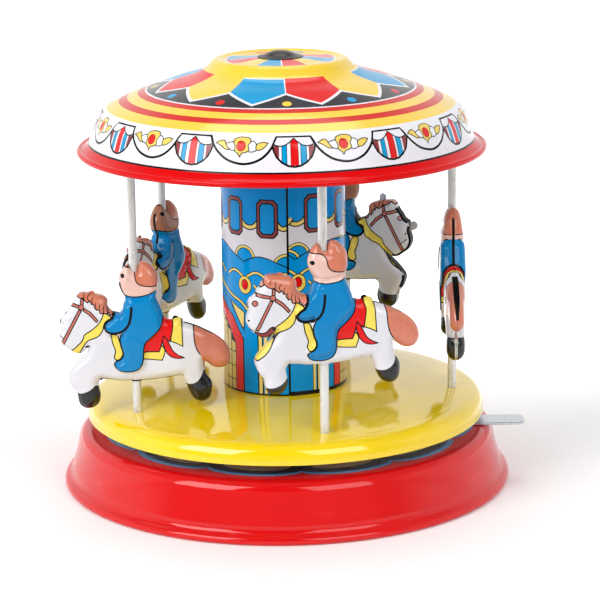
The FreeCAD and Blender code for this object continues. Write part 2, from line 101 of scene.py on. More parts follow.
def mix(nodes, links, fac, a, b, mode="MIX"):
    m = nodes.new("ShaderNodeMix")
    m.data_type = "RGBA"
    m.blend_type = mode
    for sock, val in ((0, fac), (6, a), (7, b)):
        if hasattr(val, "links"):
            links.new(val, m.inputs[sock])
        elif sock == 0:
            m.inputs[0].default_value = val
        else:
            m.inputs[sock].default_value = (val[0], val[1], val[2], 1.0)
    return m.outputs[2]


def bump(nodes, links, height, strength, dist, before=None):
    b = nodes.new("ShaderNodeBump")
    b.inputs["Strength"].default_value = strength
    b.inputs["Distance"].default_value = dist
    links.new(height, b.inputs["Height"])
    if before is not None:
        links.new(before, b.inputs["Normal"])
    return b.outputs["Normal"]


def enamel(name, rgb, rough=0.17, drift=0.05, peel=0.10, coat=0.15, speck=0.25, gloss=0.36):
    """Stoved lacquer over printed tinplate: ink drift, fine grain, a few specks, orange peel and a clear coat."""
    m, N, L, b = new_material(name)
    c = lin(rgb)
    vec = N.new("ShaderNodeTexCoord").outputs["Object"]
    broad = noise(N, L, vec, 34.0, 5.0, 0.6)
    fine = noise(N, L, vec, 1500.0, 2.0, 0.5)
    pits = noise(N, L, vec, 420.0, 1.0, 0.4)
    peel_n = noise(N, L, vec, 300.0, 2.0, 0.45)
    dents = noise(N, L, vec, 28.0, 2.0, 0.4)
    dark = [x * (1 - drift) for x in c]
    light = [min(1.0, x * (1 + 0.6 * drift) + 0.012 * drift) for x in c]
    col = ramp(N, L, broad, [(0.32, dark), (0.52, c), (0.72, light)])
    grain = ramp(N, L, fine, [(0.3, (0.955, 0.955, 0.955)), (0.7, (1.0, 1.0, 1.0))])
    col = mix(N, L, 1.0, col, grain, "MULTIPLY")
    dust = span(N, L, pits, 0.0, speck, 0.735, 0.80)
    col = mix(N, L, dust, col, [0.35 * x + 0.02 for x in c])
    L.new(col, b.inputs["Base Color"])
    L.new(span(N, L, broad, max(0.03, rough - 0.05), rough + 0.07), b.inputs["Roughness"])
    nrm = bump(N, L, peel_n, peel, 0.0004)
    nrm = bump(N, L, dents, 0.16, 0.0012, nrm)
    L.new(nrm, b.inputs["Normal"])
    b.inputs["Coat Weight"].default_value = coat
    b.inputs["Coat Roughness"].default_value = 0.05
    b.inputs["Coat IOR"].default_value = 1.5
    b.inputs["IOR"].default_value = 1.5
    b.inputs["Specular IOR Level"].default_value = gloss
    return m


def metal(name, rgb, rough=0.3, drift=0.12, scale=160.0, stretch=(1, 1, 1), grain=0.12, stain=None, metallic=1.0):
    """Bare metal: mottled tone, uneven polish, fine drawn grain and a little staining."""
    m, N, L, b = new_material(name)
    c = lin(rgb)
    vec = N.new("ShaderNodeTexCoord").outputs["Object"]
    mp = N.new("ShaderNodeMapping")
    mp.inputs["Scale"].default_value = stretch
    L.new(vec, mp.inputs["Vector"])
    v2 = mp.outputs["Vector"]
    mott = noise(N, L, v2, scale, 6.0, 0.65)
    fine = noise(N, L, v2, scale * 9.0, 3.0, 0.55)
    patch = noise(N, L, vec, scale * 0.3, 3.0, 0.55)
    dark = [x * (1 - drift) for x in c]
    light = [min(1.0, x * (1 + drift)) for x in c]
    col = ramp(N, L, mott, [(0.33, dark), (0.5, c), (0.68, light)])
    if stain:
        col = mix(N, L, span(N, L, patch, 0.0, 0.5, 0.52, 0.72), col, lin(stain))
    L.new(col, b.inputs["Base Color"])
    b.inputs["Metallic"].default_value = metallic
    L.new(span(N, L, mott, max(0.05, rough - 0.1), rough + 0.14), b.inputs["Roughness"])
    nrm = bump(N, L, fine, grain, 0.0002)
    nrm = bump(N, L, mott, grain * 0.7, 0.0004, nrm)
    L.new(nrm, b.inputs["Normal"])
    return m


MAT = {
    "red": enamel("lacquer_red", (218, 2, 6), 0.08, 0.05, 0.07, 0.05, 0.25, 0.17),
    "base_red": enamel("lacquer_base_red", (218, 12, 15), 0.08, 0.05, 0.07, 0.10, 0.25, 0.40),
    "platform_yellow": enamel("lacquer_yellow", (248, 213, 4), 0.08, 0.05, 0.05, 0.45, 0.25, 0.6),
    "yellow": enamel("ink_yellow", (246, 207, 62), 0.15, 0.04, 0.10, 0.30),
    "figure_yellow": enamel("ink_lemon", (244, 220, 92), 0.15, 0.04),
    "white": enamel("ink_white", (236, 236, 242), 0.16, 0.03),
    "horse_white": enamel("ink_horse_white", (224, 223, 229), 0.15, 0.03, 0.10, 0.25, 0.25, 0.5),
    "column_white": enamel("ink_grey_white", (226, 223, 233), 0.17, 0.03),
    "black": enamel("ink_black", (10, 9, 12), 0.16, 0.2, 0.10, 0.04, 0.25, 0.18),
    "ring_red": enamel("ink_ring_red", (210, 40, 26), 0.14, 0.06, 0.10, 0.06, 0.25, 0.25),
    # browner face for the rear riders: partly ink, partly painted shade
    "face_brown": enamel("ink_brown_face_and_shade", (176, 116, 88), 0.14, 0.07, 0.10, 0.20, 0.25, 0.4),
    # black of the seam rims: black edge paint and painted shade of the gap between the halves
    "rim_black": enamel("ink_rim_black", (7, 7, 8), 0.42, 0.2, 0.10, 0.0, 0.25, 0.12),
    "hoof": enamel("ink_hoof", (12, 11, 14), 0.14, 0.2, 0.10, 0.25, 0.25, 0.5),
    "charcoal": enamel("ink_charcoal", (38, 37, 44), 0.14, 0.15),
    "blue": enamel("ink_blue", (0, 150, 228), 0.14, 0.06, 0.10, 0.05, 0.25, 0.18),
    "deep_blue": enamel("ink_deep_blue", (0, 146, 230), 0.15, 0.08, 0.10, 0.04, 0.25, 0.15),
    "light_blue": enamel("ink_light_blue", (2, 156, 212), 0.14, 0.06, 0.10, 0.08, 0.25, 0.28),
    "suit_blue": enamel("ink_suit_blue", (0, 131, 194), 0.07, 0.07, 0.08, 0.20, 0.25, 0.20),
    "salmon": enamel("ink_salmon", (212, 124, 96), 0.12, 0.07, 0.10, 0.40, 0.25, 0.5),
    "pink": enamel("ink_pink", (232, 190, 178), 0.17, 0.04, 0.10, 0.25, 0.25, 0.5),
    "strap": enamel("ink_strap", (196, 112, 98), 0.18, 0.06),
    "brown_red": enamel("ink_brown_red", (140, 52, 56), 0.17, 0.08),
    "print_red": enamel("ink_red", (226, 16, 18), 0.15, 0.05, 0.10, 0.10, 0.25, 0.30),
    "cream": enamel("ink_cream", (240, 216, 124), 0.16, 0.05),
    "gold": enamel("ink_gold", (241, 209, 100), 0.16, 0.05),
    "ochre": enamel("ink_ochre", (214, 186, 96), 0.17, 0.06),
    # deck inks are painted lighter than the print: painted light for the deck, which lies in the platform's shade
    "deck_blue": enamel("ink_deck_blue", (120, 194, 250), 0.15, 0.06),
    "deck_dark": enamel("ink_deck_dark", (40, 112, 184), 0.15, 0.08),
    "deck_tan": enamel("ink_deck_tan", (238, 218, 166), 0.17, 0.06),
    "deck_red": enamel("ink_deck_red", (244, 24, 26), 0.15, 0.05, 0.10, 0.10),
    "cap": enamel("cap_lacquer", (26, 20, 18), 0.3, 0.25, 0.16, 0.1),
    "tin": metal("tinplate_inside", (206, 204, 196), 0.3, 0.10, 120.0, (1, 1, 1), 0.10, (176, 170, 150)),
    "edge": metal("tinplate_edge", (150, 148, 146), 0.36, 0.2, 300.0, (1, 1, 1), 0.15, (90, 84, 78)),
    "pole": metal("pole_tinplate", (228, 227, 224), 0.30, 0.10, 420.0, (1, 1, 0.22), 0.16, (196, 194, 190), 0.55),
    "lever": metal("lever_steel", (205, 208, 214), 0.26, 0.10, 300.0, (1, 3, 1), 0.14, (180, 182, 190)),
    "steel": metal("bright_steel", (190, 192, 196), 0.28, 0.10, 260.0, (1, 1, 1), 0.14),
    "movement": metal("movement_steel", (168, 170, 174), 0.36, 0.14, 140.0, (1, 4, 1), 0.2, (138, 134, 126)),
    "spring": metal("spring_steel", (110, 118, 138), 0.26, 0.18, 240.0, (1, 1, 2), 0.12, (86, 84, 96)),
    "brass": metal("wheel_brass", (206, 166, 84), 0.28, 0.12, 200.0, (1, 1, 1), 0.12, (168, 124, 58)),
}


# ---------------------------------------------------------------------------
# mesh building
# ---------------------------------------------------------------------------
class Mesh:
    """Faces with a normal at every corner; corners that meet are welded when it is built."""

    def __init__(self):
        self.parts = []

    def add(self, P, Nn, labels):
        P = np.asarray(P, float)
        Nn = np.asarray(Nn, float)
        if len(P):
            self.parts.append((P, Nn, list(labels)))

    def quad_grid(self, P, Nn, labels):
        """P and Nn are (rows, cols, 3); labels has one entry per row of quads or per quad."""
        a, b, c, d = P[:-1, :-1], P[1:, :-1], P[1:, 1:], P[:-1, 1:]
        na, nb, nc, nd = Nn[:-1, :-1], Nn[1:, :-1], Nn[1:, 1:], Nn[:-1, 1:]
        Q = np.stack([a, b, c, d], 2).reshape(-1, 4, 3)
        QN = np.stack([na, nb, nc, nd], 2).reshape(-1, 4, 3)
        cols = P.shape[1] - 1
        lab = [labels[i] for i in range(P.shape[0] - 1) for _ in range(cols)]
        self.add(Q, QN, lab)

    def build(self, name, body, replaces=(), xform=None, flip=False):
        pts = np.concatenate([p.reshape(-1, 3) for p, _, _ in self.parts])
        nrm = np.concatenate([n.reshape(-1, 3) for _, n, _ in self.parts])
        sizes = np.concatenate([np.full(len(p), p.shape[1]) for p, _, _ in self.parts])
        labels = [x for _, _, l in self.parts for x in l]
        key = np.round(pts, 3) + 0.0
        uniq, inv = np.unique(key, axis=0, return_inverse=True)
        inv = inv.reshape(-1)
        nrm = nrm / np.maximum(np.linalg.norm(nrm, axis=1), 1e-12)[:, None]
        if xform is not None:
            A = np.asarray(xform, float)
            uniq = uniq @ A[:3, :3].T + A[:3, 3]
            nrm = nrm @ A[:3, :3].T
        used = sorted(set(labels))
        faces, fmat, fnrm = [], [], []
        start = 0
        seen = set()
        for k, size in enumerate(sizes):
            idx = inv[start:start + size]
            keep = [j for j in range(size) if idx[j] != idx[j - 1]]
            if len(keep) >= 3 and len({int(idx[j]) for j in keep}) == len(keep):
                f = [int(idx[j]) for j in keep]
                sig = tuple(sorted(f))
                if sig not in seen:
                    seen.add(sig)
                    n = [nrm[start + j] for j in keep]
                    if flip:
                        f, n = f[::-1], n[::-1]
                    faces.append(f)
                    fnrm += n
                    fmat.append(used.index(labels[k]))
            start += size
        me = bpy.data.meshes.new(name)
        me.from_pydata((uniq * MM).tolist(), [], faces)
        for u in used:
            me.materials.append(MAT[u])
        me.polygons.foreach_set("material_index", np.array(fmat, np.int32))
        me.polygons.foreach_set("use_smooth", np.ones(len(faces), bool))
        me.normals_split_custom_set([tuple(n) for n in fnrm])
        me.update()
        ob = bpy.data.objects.new(name, me)
        bpy.context.scene.collection.objects.link(ob)
        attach(ob, body)
        if replaces:
            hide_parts(*replaces)
        return ob


class Curve:
    """Smooth line through points, followed by its length; corners in `sharp` stay sharp."""

    def __init__(self, pts, closed=False, sharp=()):
        p = np.array(pts, float)
        if closed:
            p = np.vstack([p, p[:1]])
        d = np.diff(p, axis=0)
        h = np.linalg.norm(d, axis=1)
        self.s = np.concatenate([[0], np.cumsum(h)])
        t = d / h[:, None]
        n = len(p)
        tin, tout = np.zeros_like(p), np.zeros_like(p)
        for i in range(n):
            a = i - 1 if i > 0 else (n - 2 if closed else None)
            b = i if i < n - 1 else (0 if closed else None)
            if a is None:
                tin[i] = tout[i] = t[b]
            elif b is None:
                tin[i] = tout[i] = t[a]
            elif i in sharp or (closed and i == n - 1 and 0 in sharp):
                tin[i], tout[i] = t[a], t[b]
            else:
                m = (t[a] * h[b] + t[b] * h[a]) / (h[a] + h[b])
                tin[i] = tout[i] = m
        self.p, self.h, self.tin, self.tout = p, h, tin, tout
        self.length = self.s[-1]

    def at(self, s):
        s = np.clip(np.asarray(s, float), 0, self.length)
        i = np.clip(np.searchsorted(self.s, s, side="right") - 1, 0, len(self.h) - 1)
        h = self.h[i][:, None]
        u = ((s - self.s[i]) / self.h[i])[:, None]
        p0, p1, m0, m1 = self.p[i], self.p[i + 1], self.tout[i] * h, self.tin[i + 1] * h
        pos = (2 * u**3 - 3 * u**2 + 1) * p0 + (u**3 - 2 * u**2 + u) * m0 + (3 * u**2 - 2 * u**3) * p1 + (u**3 - u**2) * m1
        der = (6 * u**2 - 6 * u) * p0 + (3 * u**2 - 4 * u + 1) * m0 + (6 * u - 6 * u**2) * p1 + (3 * u**2 - 2 * u) * m1
        der /= np.maximum(np.linalg.norm(der, axis=1), 1e-12)[:, None]
        return pos, der

    def frame(self, s):
        """Points and the normals to the left of the direction of travel."""
        pos, t = self.at(s)
        return pos, np.stack([-t[:, 1], t[:, 0]], 1)


def smooth_path(pts, step=0.6, closed=False, sharp_deg=65.0):
    p = np.array(pts, float)
    n = len(p)
    sharp = set()
    for i in range(n):
        if closed or 0 < i < n - 1:
            a, b = p[i] - p[i - 1], p[(i + 1) % n] - p[i]
            c = (a @ b) / max(np.linalg.norm(a) * np.linalg.norm(b), 1e-12)
            if math.degrees(math.acos(max(-1, min(1, c)))) > sharp_deg:
                sharp.add(i)
    cv = Curve(p, closed, sharp)
    s = []
    for i, h in enumerate(cv.h):
        k = max(1, int(round(h / step)))
        s += [cv.s[i] + h * j / k for j in range(k)]
    if not closed:
        s.append(cv.length)
    return cv.at(np.array(s))[0]


def offset(poly, d, closed=True, limit=2.2):
    """Polygon or line moved to its right by d, mitred."""
    p = np.array(poly, float)
    n = len(p)
    out = []
    for i in range(n):
        if closed or 0 < i < n - 1:
            a, b = p[i] - p[i - 1], p[(i + 1) % n] - p[i]
        elif i == 0:
            a = b = p[1] - p[0]
        else:
            a = b = p[-1] - p[-2]
        na = np.array([a[1], -a[0]]) / max(np.linalg.norm(a), 1e-12)
        nb = np.array([b[1], -b[0]]) / max(np.linalg.norm(b), 1e-12)
        m = na + nb
        l = np.linalg.norm(m)
        if l < 1e-6:
            m, k = na, 1.0
        else:
            m = m / l
            k = min(limit, 1.0 / max(m @ na, 1e-3))
        out.append(p[i] + m * d * k)
    return np.array(out)


def ccw(poly):
    p = np.array(poly, float)
    a = np.sum(p[:, 0] * np.roll(p[:, 1], -1) - np.roll(p[:, 0], -1) * p[:, 1])
    return p if a > 0 else p[::-1]


def stroke(path, w):
    """Outline of a line of width w."""
    return np.vstack([offset(path, w / 2, False), offset(path, -w / 2, False)[::-1]])


def outlined(poly, w, fill, line="black"):
    p = ccw(poly)
    return [(offset(p, w / 2), line), (offset(p, -w / 2), fill)]


def oval(cx, cy, a, b, n=20):
    t = np.arange(n) * 2 * math.pi / n
    return np.stack([cx + a * np.cos(t), cy + b * np.sin(t)], 1)


def inside(poly, pts):
    p = np.asarray(poly, float)
    lo, hi = p.min(0), p.max(0)
    c = np.zeros(len(pts), bool)
    m = np.all((pts >= lo) & (pts <= hi), axis=1)
    if not m.any():
        return c
    x, y = pts[m, 0], pts[m, 1]
    r = np.zeros(len(x), bool)
    for (ax, ay), (bx, by) in zip(p, np.roll(p, -1, 0)):
        if ay != by:
            k = (ay > y) != (by > y)
            r ^= k & (x < (bx - ax) * (y - ay) / (by - ay) + ax)
    c[m] = r
    return c


def cdt(loops, lines=(), points=(), eps=1e-4):
    """Triangles over closed loops, open lines and loose points, in the plane."""
    verts, edges = [], []
    for pts, closed in [(l, True) for l in loops] + [(l, False) for l in lines]:
        b, n = len(verts), len(pts)
        verts += [(float(x), float(y)) for x, y in pts]
        edges += [(b + i, b + i + 1) for i in range(n - 1)]
        if closed:
            edges.append((b + n - 1, b))
    verts += [(float(x), float(y)) for x, y in points]
    out = delaunay_2d_cdt([Vector(v) for v in verts], edges, [], 0, eps, False)
    V = np.array([(v[0], v[1]) for v in out[0]])
    T = np.array([f for f in out[2] if len(f) == 3], int)
    a, b, c = V[T[:, 0]], V[T[:, 1]], V[T[:, 2]]
    area = (b[:, 0] - a[:, 0]) * (c[:, 1] - a[:, 1]) - (b[:, 1] - a[:, 1]) * (c[:, 0] - a[:, 0])
    T[area < 0] = T[area < 0][:, ::-1]
    return V, T[np.abs(area) > 1e-9]


def paint(V, T, shapes, base):
    """Label of each triangle: the last shape that holds its middle."""
    mid = V[T].mean(1)
    lab = np.array([base] * len(T), dtype=object)
    for poly, name in shapes:
        lab[inside(poly, mid)] = name
    return lab


RING = np.arange(361) + 0.5          # azimuth grid of every turned surface


def spin(mesh, rz, nrm, labels, az=RING):
    """Turned surface: rz and nrm are (k, 2) rows, labels has one entry per band."""
    a = np.asarray(az) * DEG
    c, s = np.cos(a), np.sin(a)
    rz, nrm = np.asarray(rz, float), np.asarray(nrm, float)
    P = np.stack([np.outer(rz[:, 0], c), np.outer(rz[:, 0], s), np.repeat(rz[:, 1:], len(a), 1)], 2)
    Nn = np.stack([np.outer(nrm[:, 0], c), np.outer(nrm[:, 0], s), np.repeat(nrm[:, 1:], len(a), 1)], 2)
    mesh.quad_grid(P, Nn, labels)


def spin_line(mesh, pts, label, az=RING, split=35.0, step=None):
    """Turned surface of an open line, its outer side to the left; corners over `split` degrees stay sharp."""
    p = np.array(pts, float)
    d = np.diff(p, axis=0)
    t = d / np.linalg.norm(d, axis=1)[:, None]
    n = np.stack([-t[:, 1], t[:, 0]], 1)
    for i in range(len(d)):
        na, nb = n[i], n[i]
        if i > 0 and n[i] @ n[i - 1] > math.cos(split * DEG):
            na = n[i] + n[i - 1]
        if i < len(d) - 1 and n[i] @ n[i + 1] > math.cos(split * DEG):
            nb = n[i] + n[i + 1]
        lab = label[i] if isinstance(label, (list, tuple)) else label
        spin(mesh, p[i:i + 2], np.array([na / np.linalg.norm(na), nb / np.linalg.norm(nb)]), [lab], az)


def sector(mesh, curve, s_rows, shapes, base, az0, r_ref, recolour=None, span_deg=30, reps=12):
    """Printed ring of a turned surface, one sector triangulated and repeated.
    Shapes are in (degrees from the sector's start, length along the profile)."""
    k = r_ref * DEG
    s0, s1 = s_rows[0], s_rows[-1]
    lines = [[(g * k, s0), (g * k, s1)] for g in range(span_deg + 1)]
    lines += [[(0, s), (span_deg * k, s)] for s in s_rows]
    flat = [(np.asarray(p, float) * [k, 1.0], l) for p, l in shapes]
    V, T = cdt([p for p, _ in flat], lines)
    mid = V[T].mean(1)
    T = T[(mid[:, 0] > 0) & (mid[:, 0] < span_deg * k) & (mid[:, 1] > s0) & (mid[:, 1] < s1)]
    lab = paint(V, T, flat, base)
    th = V[:, 0] / k
    near = np.round(th)
    th = np.where(np.abs(th - near) < 2e-4, near, th)
    ss = V[:, 1].copy()
    for s in s_rows:
        ss[np.abs(ss - s) < 2e-4] = s
    th, ss = np.round(th, 5), np.round(ss, 5)
    rz, nn = curve.frame(ss)
    for j in range(reps):
        a = (az0 + j * span_deg + th) * DEG
        c, s = np.cos(a), np.sin(a)
        P = np.stack([rz[:, 0] * c, rz[:, 0] * s, rz[:, 1]], 1)
        Nn = np.stack([nn[:, 0] * c, nn[:, 0] * s, nn[:, 1]], 1)
        # travel is outwards and down, so the azimuth runs to the right of it: keep the outside out
        TT = T[:, ::-1]
        names = lab if recolour is None else [recolour(x, j) for x in lab]
        mesh.add(P[TT], Nn[TT], names)


# ---------------------------------------------------------------------------
# roof canopy
# ---------------------------------------------------------------------------
ROOF = [(2, 158.9), (9.0, 158.9), (19.4, 158.1), (20.4, 158.15), (21.5, 158.55), (22.7, 158.8), (23.8, 158.65),
        (24.9, 158.0), (26.0, 156.8), (27.0, 155.75), (28.5, 154.85), (39.0, 151.4), (49.1, 147.9), (56.3, 145.2), (61.0, 143.2), (64.0, 141.8), (65.6, 140.7),
        (66.9, 139.2), (68.0, 137.2), (68.7, 135.4), (69.55, 132.8), (70.3, 130.6), (70.9, 129.2), (71.35, 128.55),
        (72.0, 127.95), (72.75, 127.35), (73.45, 126.9)]
ROLL = [(73.45, 126.9), (73.82, 126.97), (74.25, 127.05), (74.82, 126.9), (75.25, 126.48), (75.4, 125.9), (75.25, 125.32),
        (74.82, 124.9), (74.25, 124.75), (73.68, 124.9), (73.25, 125.32), (73.1, 125.9), (73.17, 126.29)]


def make_roof():
    m = Mesh()
    cv = Curve(ROOF)
    dense = np.linspace(0, cv.length, 4000)
    rad = cv.at(dense)[0][:, 0]

    def at_r(r):
        return float(np.interp(r, rad, dense))

    CYCLE = ["print_red", "yellow", "light_blue"]

    # top disc: twelve wedges in three colours
    s_a, s_b = at_r(8.0), at_r(20.2)
    rows = list(np.linspace(s_a, s_b, 5))
    wl = 0.22
    shapes = []
    for th, nm in ((0.0, "line_start"), (30.0, "line_end")):
        sg = 1 if th == 0 else -1
        shapes.append(([(th, s_a + 0.02), (th + sg * wl / (8.0 * DEG), s_a + 0.02), (th + sg * wl / (20.2 * DEG), s_b - 0.02),
                        (th, s_b - 0.02)], nm))

    shapes.append(([(-1, at_r(19.75)), (31, at_r(19.75)), (31, s_b + 1), (-1, s_b + 1)], "white"))

    def disc_colour(name, j):
        if name == "white":
            return name
        if name == "line_start":
            return "white" if j % 3 == 0 else CYCLE[j % 3]
        if name == "line_end":
            return "white" if j % 3 == 2 else CYCLE[j % 3]
        return CYCLE[j % 3]

    sector(m, cv, rows, shapes, "panel", -88.5, 16.0, disc_colour)
    inner_rows = np.linspace(0, s_a, 4)
    p, n = cv.frame(inner_rows)
    spin(m, p, n, ["tin"] * 3)

    # yellow step round the disc
    s_c = at_r(27.6)
    st = np.linspace(s_b, s_c, 13)
    p, n = cv.frame(st)
    spin(m, p, n, ["yellow"] * 12)

    # pennant panels with a white zigzag, dots in the dark field below
    s_d = at_r(49.9)
    rows = [s_c] + [at_r(r) for r in (30.5, 33.5, 36.5, 39.5, 42.5, 45.5, 48.0)] + [s_d]
    top = at_r(28.1)
    k = 40.0 * DEG

    def zig(valley, tip, over=0.0):
        """Lower edge of a panel from valley to valley, as (degrees, s)."""
        out = []
        for t in np.linspace(0, 30, 13):
            f = 1 - abs(t - 15) / 15.0
            out.append((t, at_r(valley + (tip - valley) * f) + over))
        return out

    white = zig(39.9, 47.7)
    body = zig(38.55, 46.35)
    shapes = [([(-1, s_c - 1)] + [(-1, white[0][1])] + white + [(31, white[-1][1]), (31, s_c - 1)], "white"),
              ([(-1, s_c - 1)] + [(-1, body[0][1])] + body + [(31, body[-1][1]), (31, s_c - 1)], "panel"),
              ([(-1, s_c - 1), (31, s_c - 1), (31, top), (-1, top)], "ring")]
    lw = 0.2
    shapes.append(([(-1, top), (31, top), (31, top + 0.45), (-1, top + 0.45)], "top_line"))
    for th, nm in ((0.0, "line_start"), (30.0, "line_end")):
        sg = 1 if th == 0 else -1
        shapes.append(([(th - sg, top), (th + sg * lw / (28.0 * DEG), top), (th + sg * lw / (38.5 * DEG), body[0][1]),
                        (th - sg, body[0][1])], nm))
    dot_s = at_r(46.1)
    for th, nm in ((0.0, "dot_start"), (30.0, "dot_end")):
        e = oval(0, 0, 1.65, 1.75, 22) / [46.1 * DEG, 1.0] + [th, dot_s]
        shapes.append((e, nm))
    shapes.append(([(-1, at_r(49.0)), (31, at_r(49.0)), (31, at_r(49.7)), (-1, at_r(49.7))], "white"))
    shapes.append(([(-1, at_r(49.7)), (31, at_r(49.7)), (31, s_d + 1), (-1, s_d + 1)], "print_red"))
    DOT = ["yellow", "light_blue", "print_red"]

    def panel_colour(name, j):
        c = CYCLE[j % 3]
        if name == "panel":
            return c
        if name == "ring":
            return "yellow"
        if name == "top_line":
            return "white" if c == "light_blue" else c
        if name == "line_start":
            return "white" if j % 3 == 0 else c
        if name == "line_end":
            return "white" if j % 3 == 2 else c
        if name == "dot_start":
            return DOT[j % 3]
        if name == "dot_end":
            return DOT[(j + 1) % 3]
        return name

    sector(m, cv, rows, shapes, "charcoal", -87.5, 40.0, panel_colour)

    # plain rings
    edges = [s_d, at_r(52.4), at_r(56.3), at_r(59.4), at_r(63.9)]
    for (a, b), c in zip(zip(edges, edges[1:]), ["ring_red", "yellow", "ring_red", "yellow"]):
        st = np.linspace(a, b, 4)
        p, n = cv.frame(st)
        spin(m, p, n, [c] * 3)

    # white drum band: shields hung between swags, a flower over each swag
    b0, b1 = edges[-1], 80.3
    rows = list(np.linspace(b0, b1, 10))
    kb = 68.5 * DEG

    def mmpath(pts, step=0.7, closed=False, sharp=65.0):
        q = np.array(pts, float) * [kb, 1.0]
        return smooth_path(q, step, closed, sharp)

    shapes = []

    def put(poly, name):
        shapes.append((np.asarray(poly) / [kb, 1.0] + [0.0, 0.25], name))

    swag = [(-9.9, 67.6), (-8.2, 71.55), (-6.4, 73.9), (-4.5, 75.6), (-2.0, 76.75), (0.6, 77.2), (4.1, 76.3),
            (5.8, 75.2), (7.5, 73.3), (8.9, 70.85), (10, 67.6)]
    put(stroke(mmpath([(t + 15, s) for t, s in swag]), 0.84), "black")
    f0 = 14.7
    petals = [
        ([(-7.6, 70.1), (-6.6, 69.3), (-5.3, 69.0), (-4.6, 70.2), (-3.9, 71.3), (-3.2, 72.3), (-4.5, 72.2), (-5.7, 71.3),
          (-6.6, 70.6)], "gold"),
        ([(7.8, 69.9), (6.8, 69.6), (5.7, 69.75), (4.6, 70.4), (4.2, 71.4), (4.4, 72.4), (5.6, 72.3), (6.6, 71.6),
          (7.3, 70.8)], "gold"),
        ([(-3.0, 69.6), (-3.9, 69.9), (-4.6, 70.2), (-3.9, 71.5), (-3.0, 72.4), (-1.6, 72.6), (-1.2, 71.0), (-1.6, 69.6)],
         "white"),
        ([(2.6, 69.2), (3.6, 69.3), (4.4, 70.2), (4.3, 71.4), (4.4, 72.4), (3.2, 73.0), (2.0, 72.7), (1.4, 71.0)], "white"),
        ([(-2.3, 69.5), (-2.1, 68.5), (-1.2, 67.9), (-0.2, 67.5), (0.8, 67.6), (1.7, 67.7), (2.6, 68.4), (2.7, 69.4),
          (2.0, 70.8), (2.3, 72.3), (1.3, 73.2), (0.4, 73.4), (-0.3, 74.7), (-0.9, 73.6), (-1.7, 72.9), (-1.8, 71.0)],
         "gold"),
    ]
    for pts, c in petals:
        q = ccw(mmpath([(t + f0, s) for t, s in pts], 0.5, True, 80.0))
        put(offset(q, 0.20), "black")
        put(offset(q, -0.14), c)
    q = oval((f0 - 0.05) * kb, 70.9, 1.25 * kb, 1.75, 18)
    put(offset(q, 0.18), "black")
    put(q, "print_red")
    for c0 in (0.0, 30.0):
        shell = [(-5.0, 67.5), (5.0, 67.5), (6.07, 70.65), (5.9, 72.2), (4.95, 74.8), (3.5, 76.6), (1.8, 77.8), (0, 78.15),
                 (-1.8, 77.8), (-3.5, 76.6), (-4.95, 74.8), (-5.9, 72.2), (-6.07, 70.65)]
        q = ccw(np.array([(t + c0, s) for t, s in shell]) * [kb, 1.0])
        # only the lower part of the outline is rounded
        put(offset(q, 0.44), "black")
        put(offset(q, -0.30), "white")
        body = [(-5.9, 70.4), (-4.6, 70.95), (-2.8, 70.8), (-1.4, 69.8), (0, 68.05), (1.4, 69.8), (2.8, 70.8), (4.6, 70.95),
                (5.9, 70.4), (5.75, 72.2), (4.8, 74.7), (3.35, 76.4), (1.7, 77.5), (0, 77.85), (-1.7, 77.5), (-3.35, 76.4),
                (-4.8, 74.7), (-5.75, 72.2)]
        bars = [(-6.0, -4.3, "brown_red"), (-4.3, -3.5, "white"), (-3.5, -2.1, "light_blue"), (-2.1, -1.0, "white"),
                (-1.0, 1.2, "print_red"), (1.2, 1.9, "white"), (1.9, 3.55, "light_blue"), (3.55, 4.2, "white"),
                (4.2, 6.0, "brown_red")]
        lobe = np.array([(t, s) for t, s in body[:9]])

        def lobe_s(t):
            return float(np.interp(t, lobe[:, 0], lobe[:, 1]))

        low = np.array([(t, s) for t, s in body[9:]][::-1])

        def low_s(t):
            return float(np.interp(t, low[:, 0], low[:, 1]))

        for a, b, c in bars:
            a, b = max(a, -5.72), min(b, 5.72)
            ts = np.linspace(a, b, 4)
            poly = [(t + c0, lobe_s(t)) for t in ts] + [(t + c0, low_s(t)) for t in ts[::-1]]
            put(np.array(poly) * [kb, 1.0], c)
        for t0, wd in ((-3.5, 0.22), (-2.1, 0.22), (1.9, 0.22), (3.55, 0.22), (-1.0, 0.14), (1.2, 0.14)):
            ts = (t0 - wd / 2 / kb, t0 + wd / 2 / kb)
            poly = [(t + c0, lobe_s(t)) for t in ts] + [(t + c0, low_s(t)) for t in ts[::-1]]
            put(np.array(poly) * [kb, 1.0], "black")
        put(stroke(smooth_path(np.array([(t + c0, s) for t, s in body[:5]]) * [kb, 1.0], 0.7), 0.42), "black")
        put(stroke(smooth_path(np.array([(t + c0, s) for t, s in body[4:9]]) * [kb, 1.0], 0.7), 0.42), "black")
    sector(m, cv, rows, shapes, "white", -86.5, 68.5)

    # black line, red flare, rolled rim
    st = np.array([b1, b1 + 0.35, b1 + 0.7])
    p, n = cv.frame(st)
    spin(m, p, n, ["black"] * 2)
    st = np.linspace(b1 + 0.7, cv.length, 9)
    p, n = cv.frame(st)
    spin(m, p, n, ["red"] * 8)
    rc = Curve(ROLL)
    st = np.linspace(0, rc.length, 31)
    p, n = rc.frame(st)
    spin(m, p, n, ["red"] * 30)
    # underside, one sheet thickness in
    st = np.linspace(0, cv.length, 100)
    q, nn = cv.frame(st)
    ins = (q - nn * 0.4)[::-1]
    ins[-1, 0] = 2.0
    spin(m, ins, -nn[::-1], ["tin"] * 99)
    spin_line(m, [tuple(p[-1]), tuple(ins[0])], "tin")
    spin_line(m, [tuple(ins[-1]), (2.0, 158.9)], "tin")
    m.build("roof_canopy_print", "turntable", ["roof_canopy"])


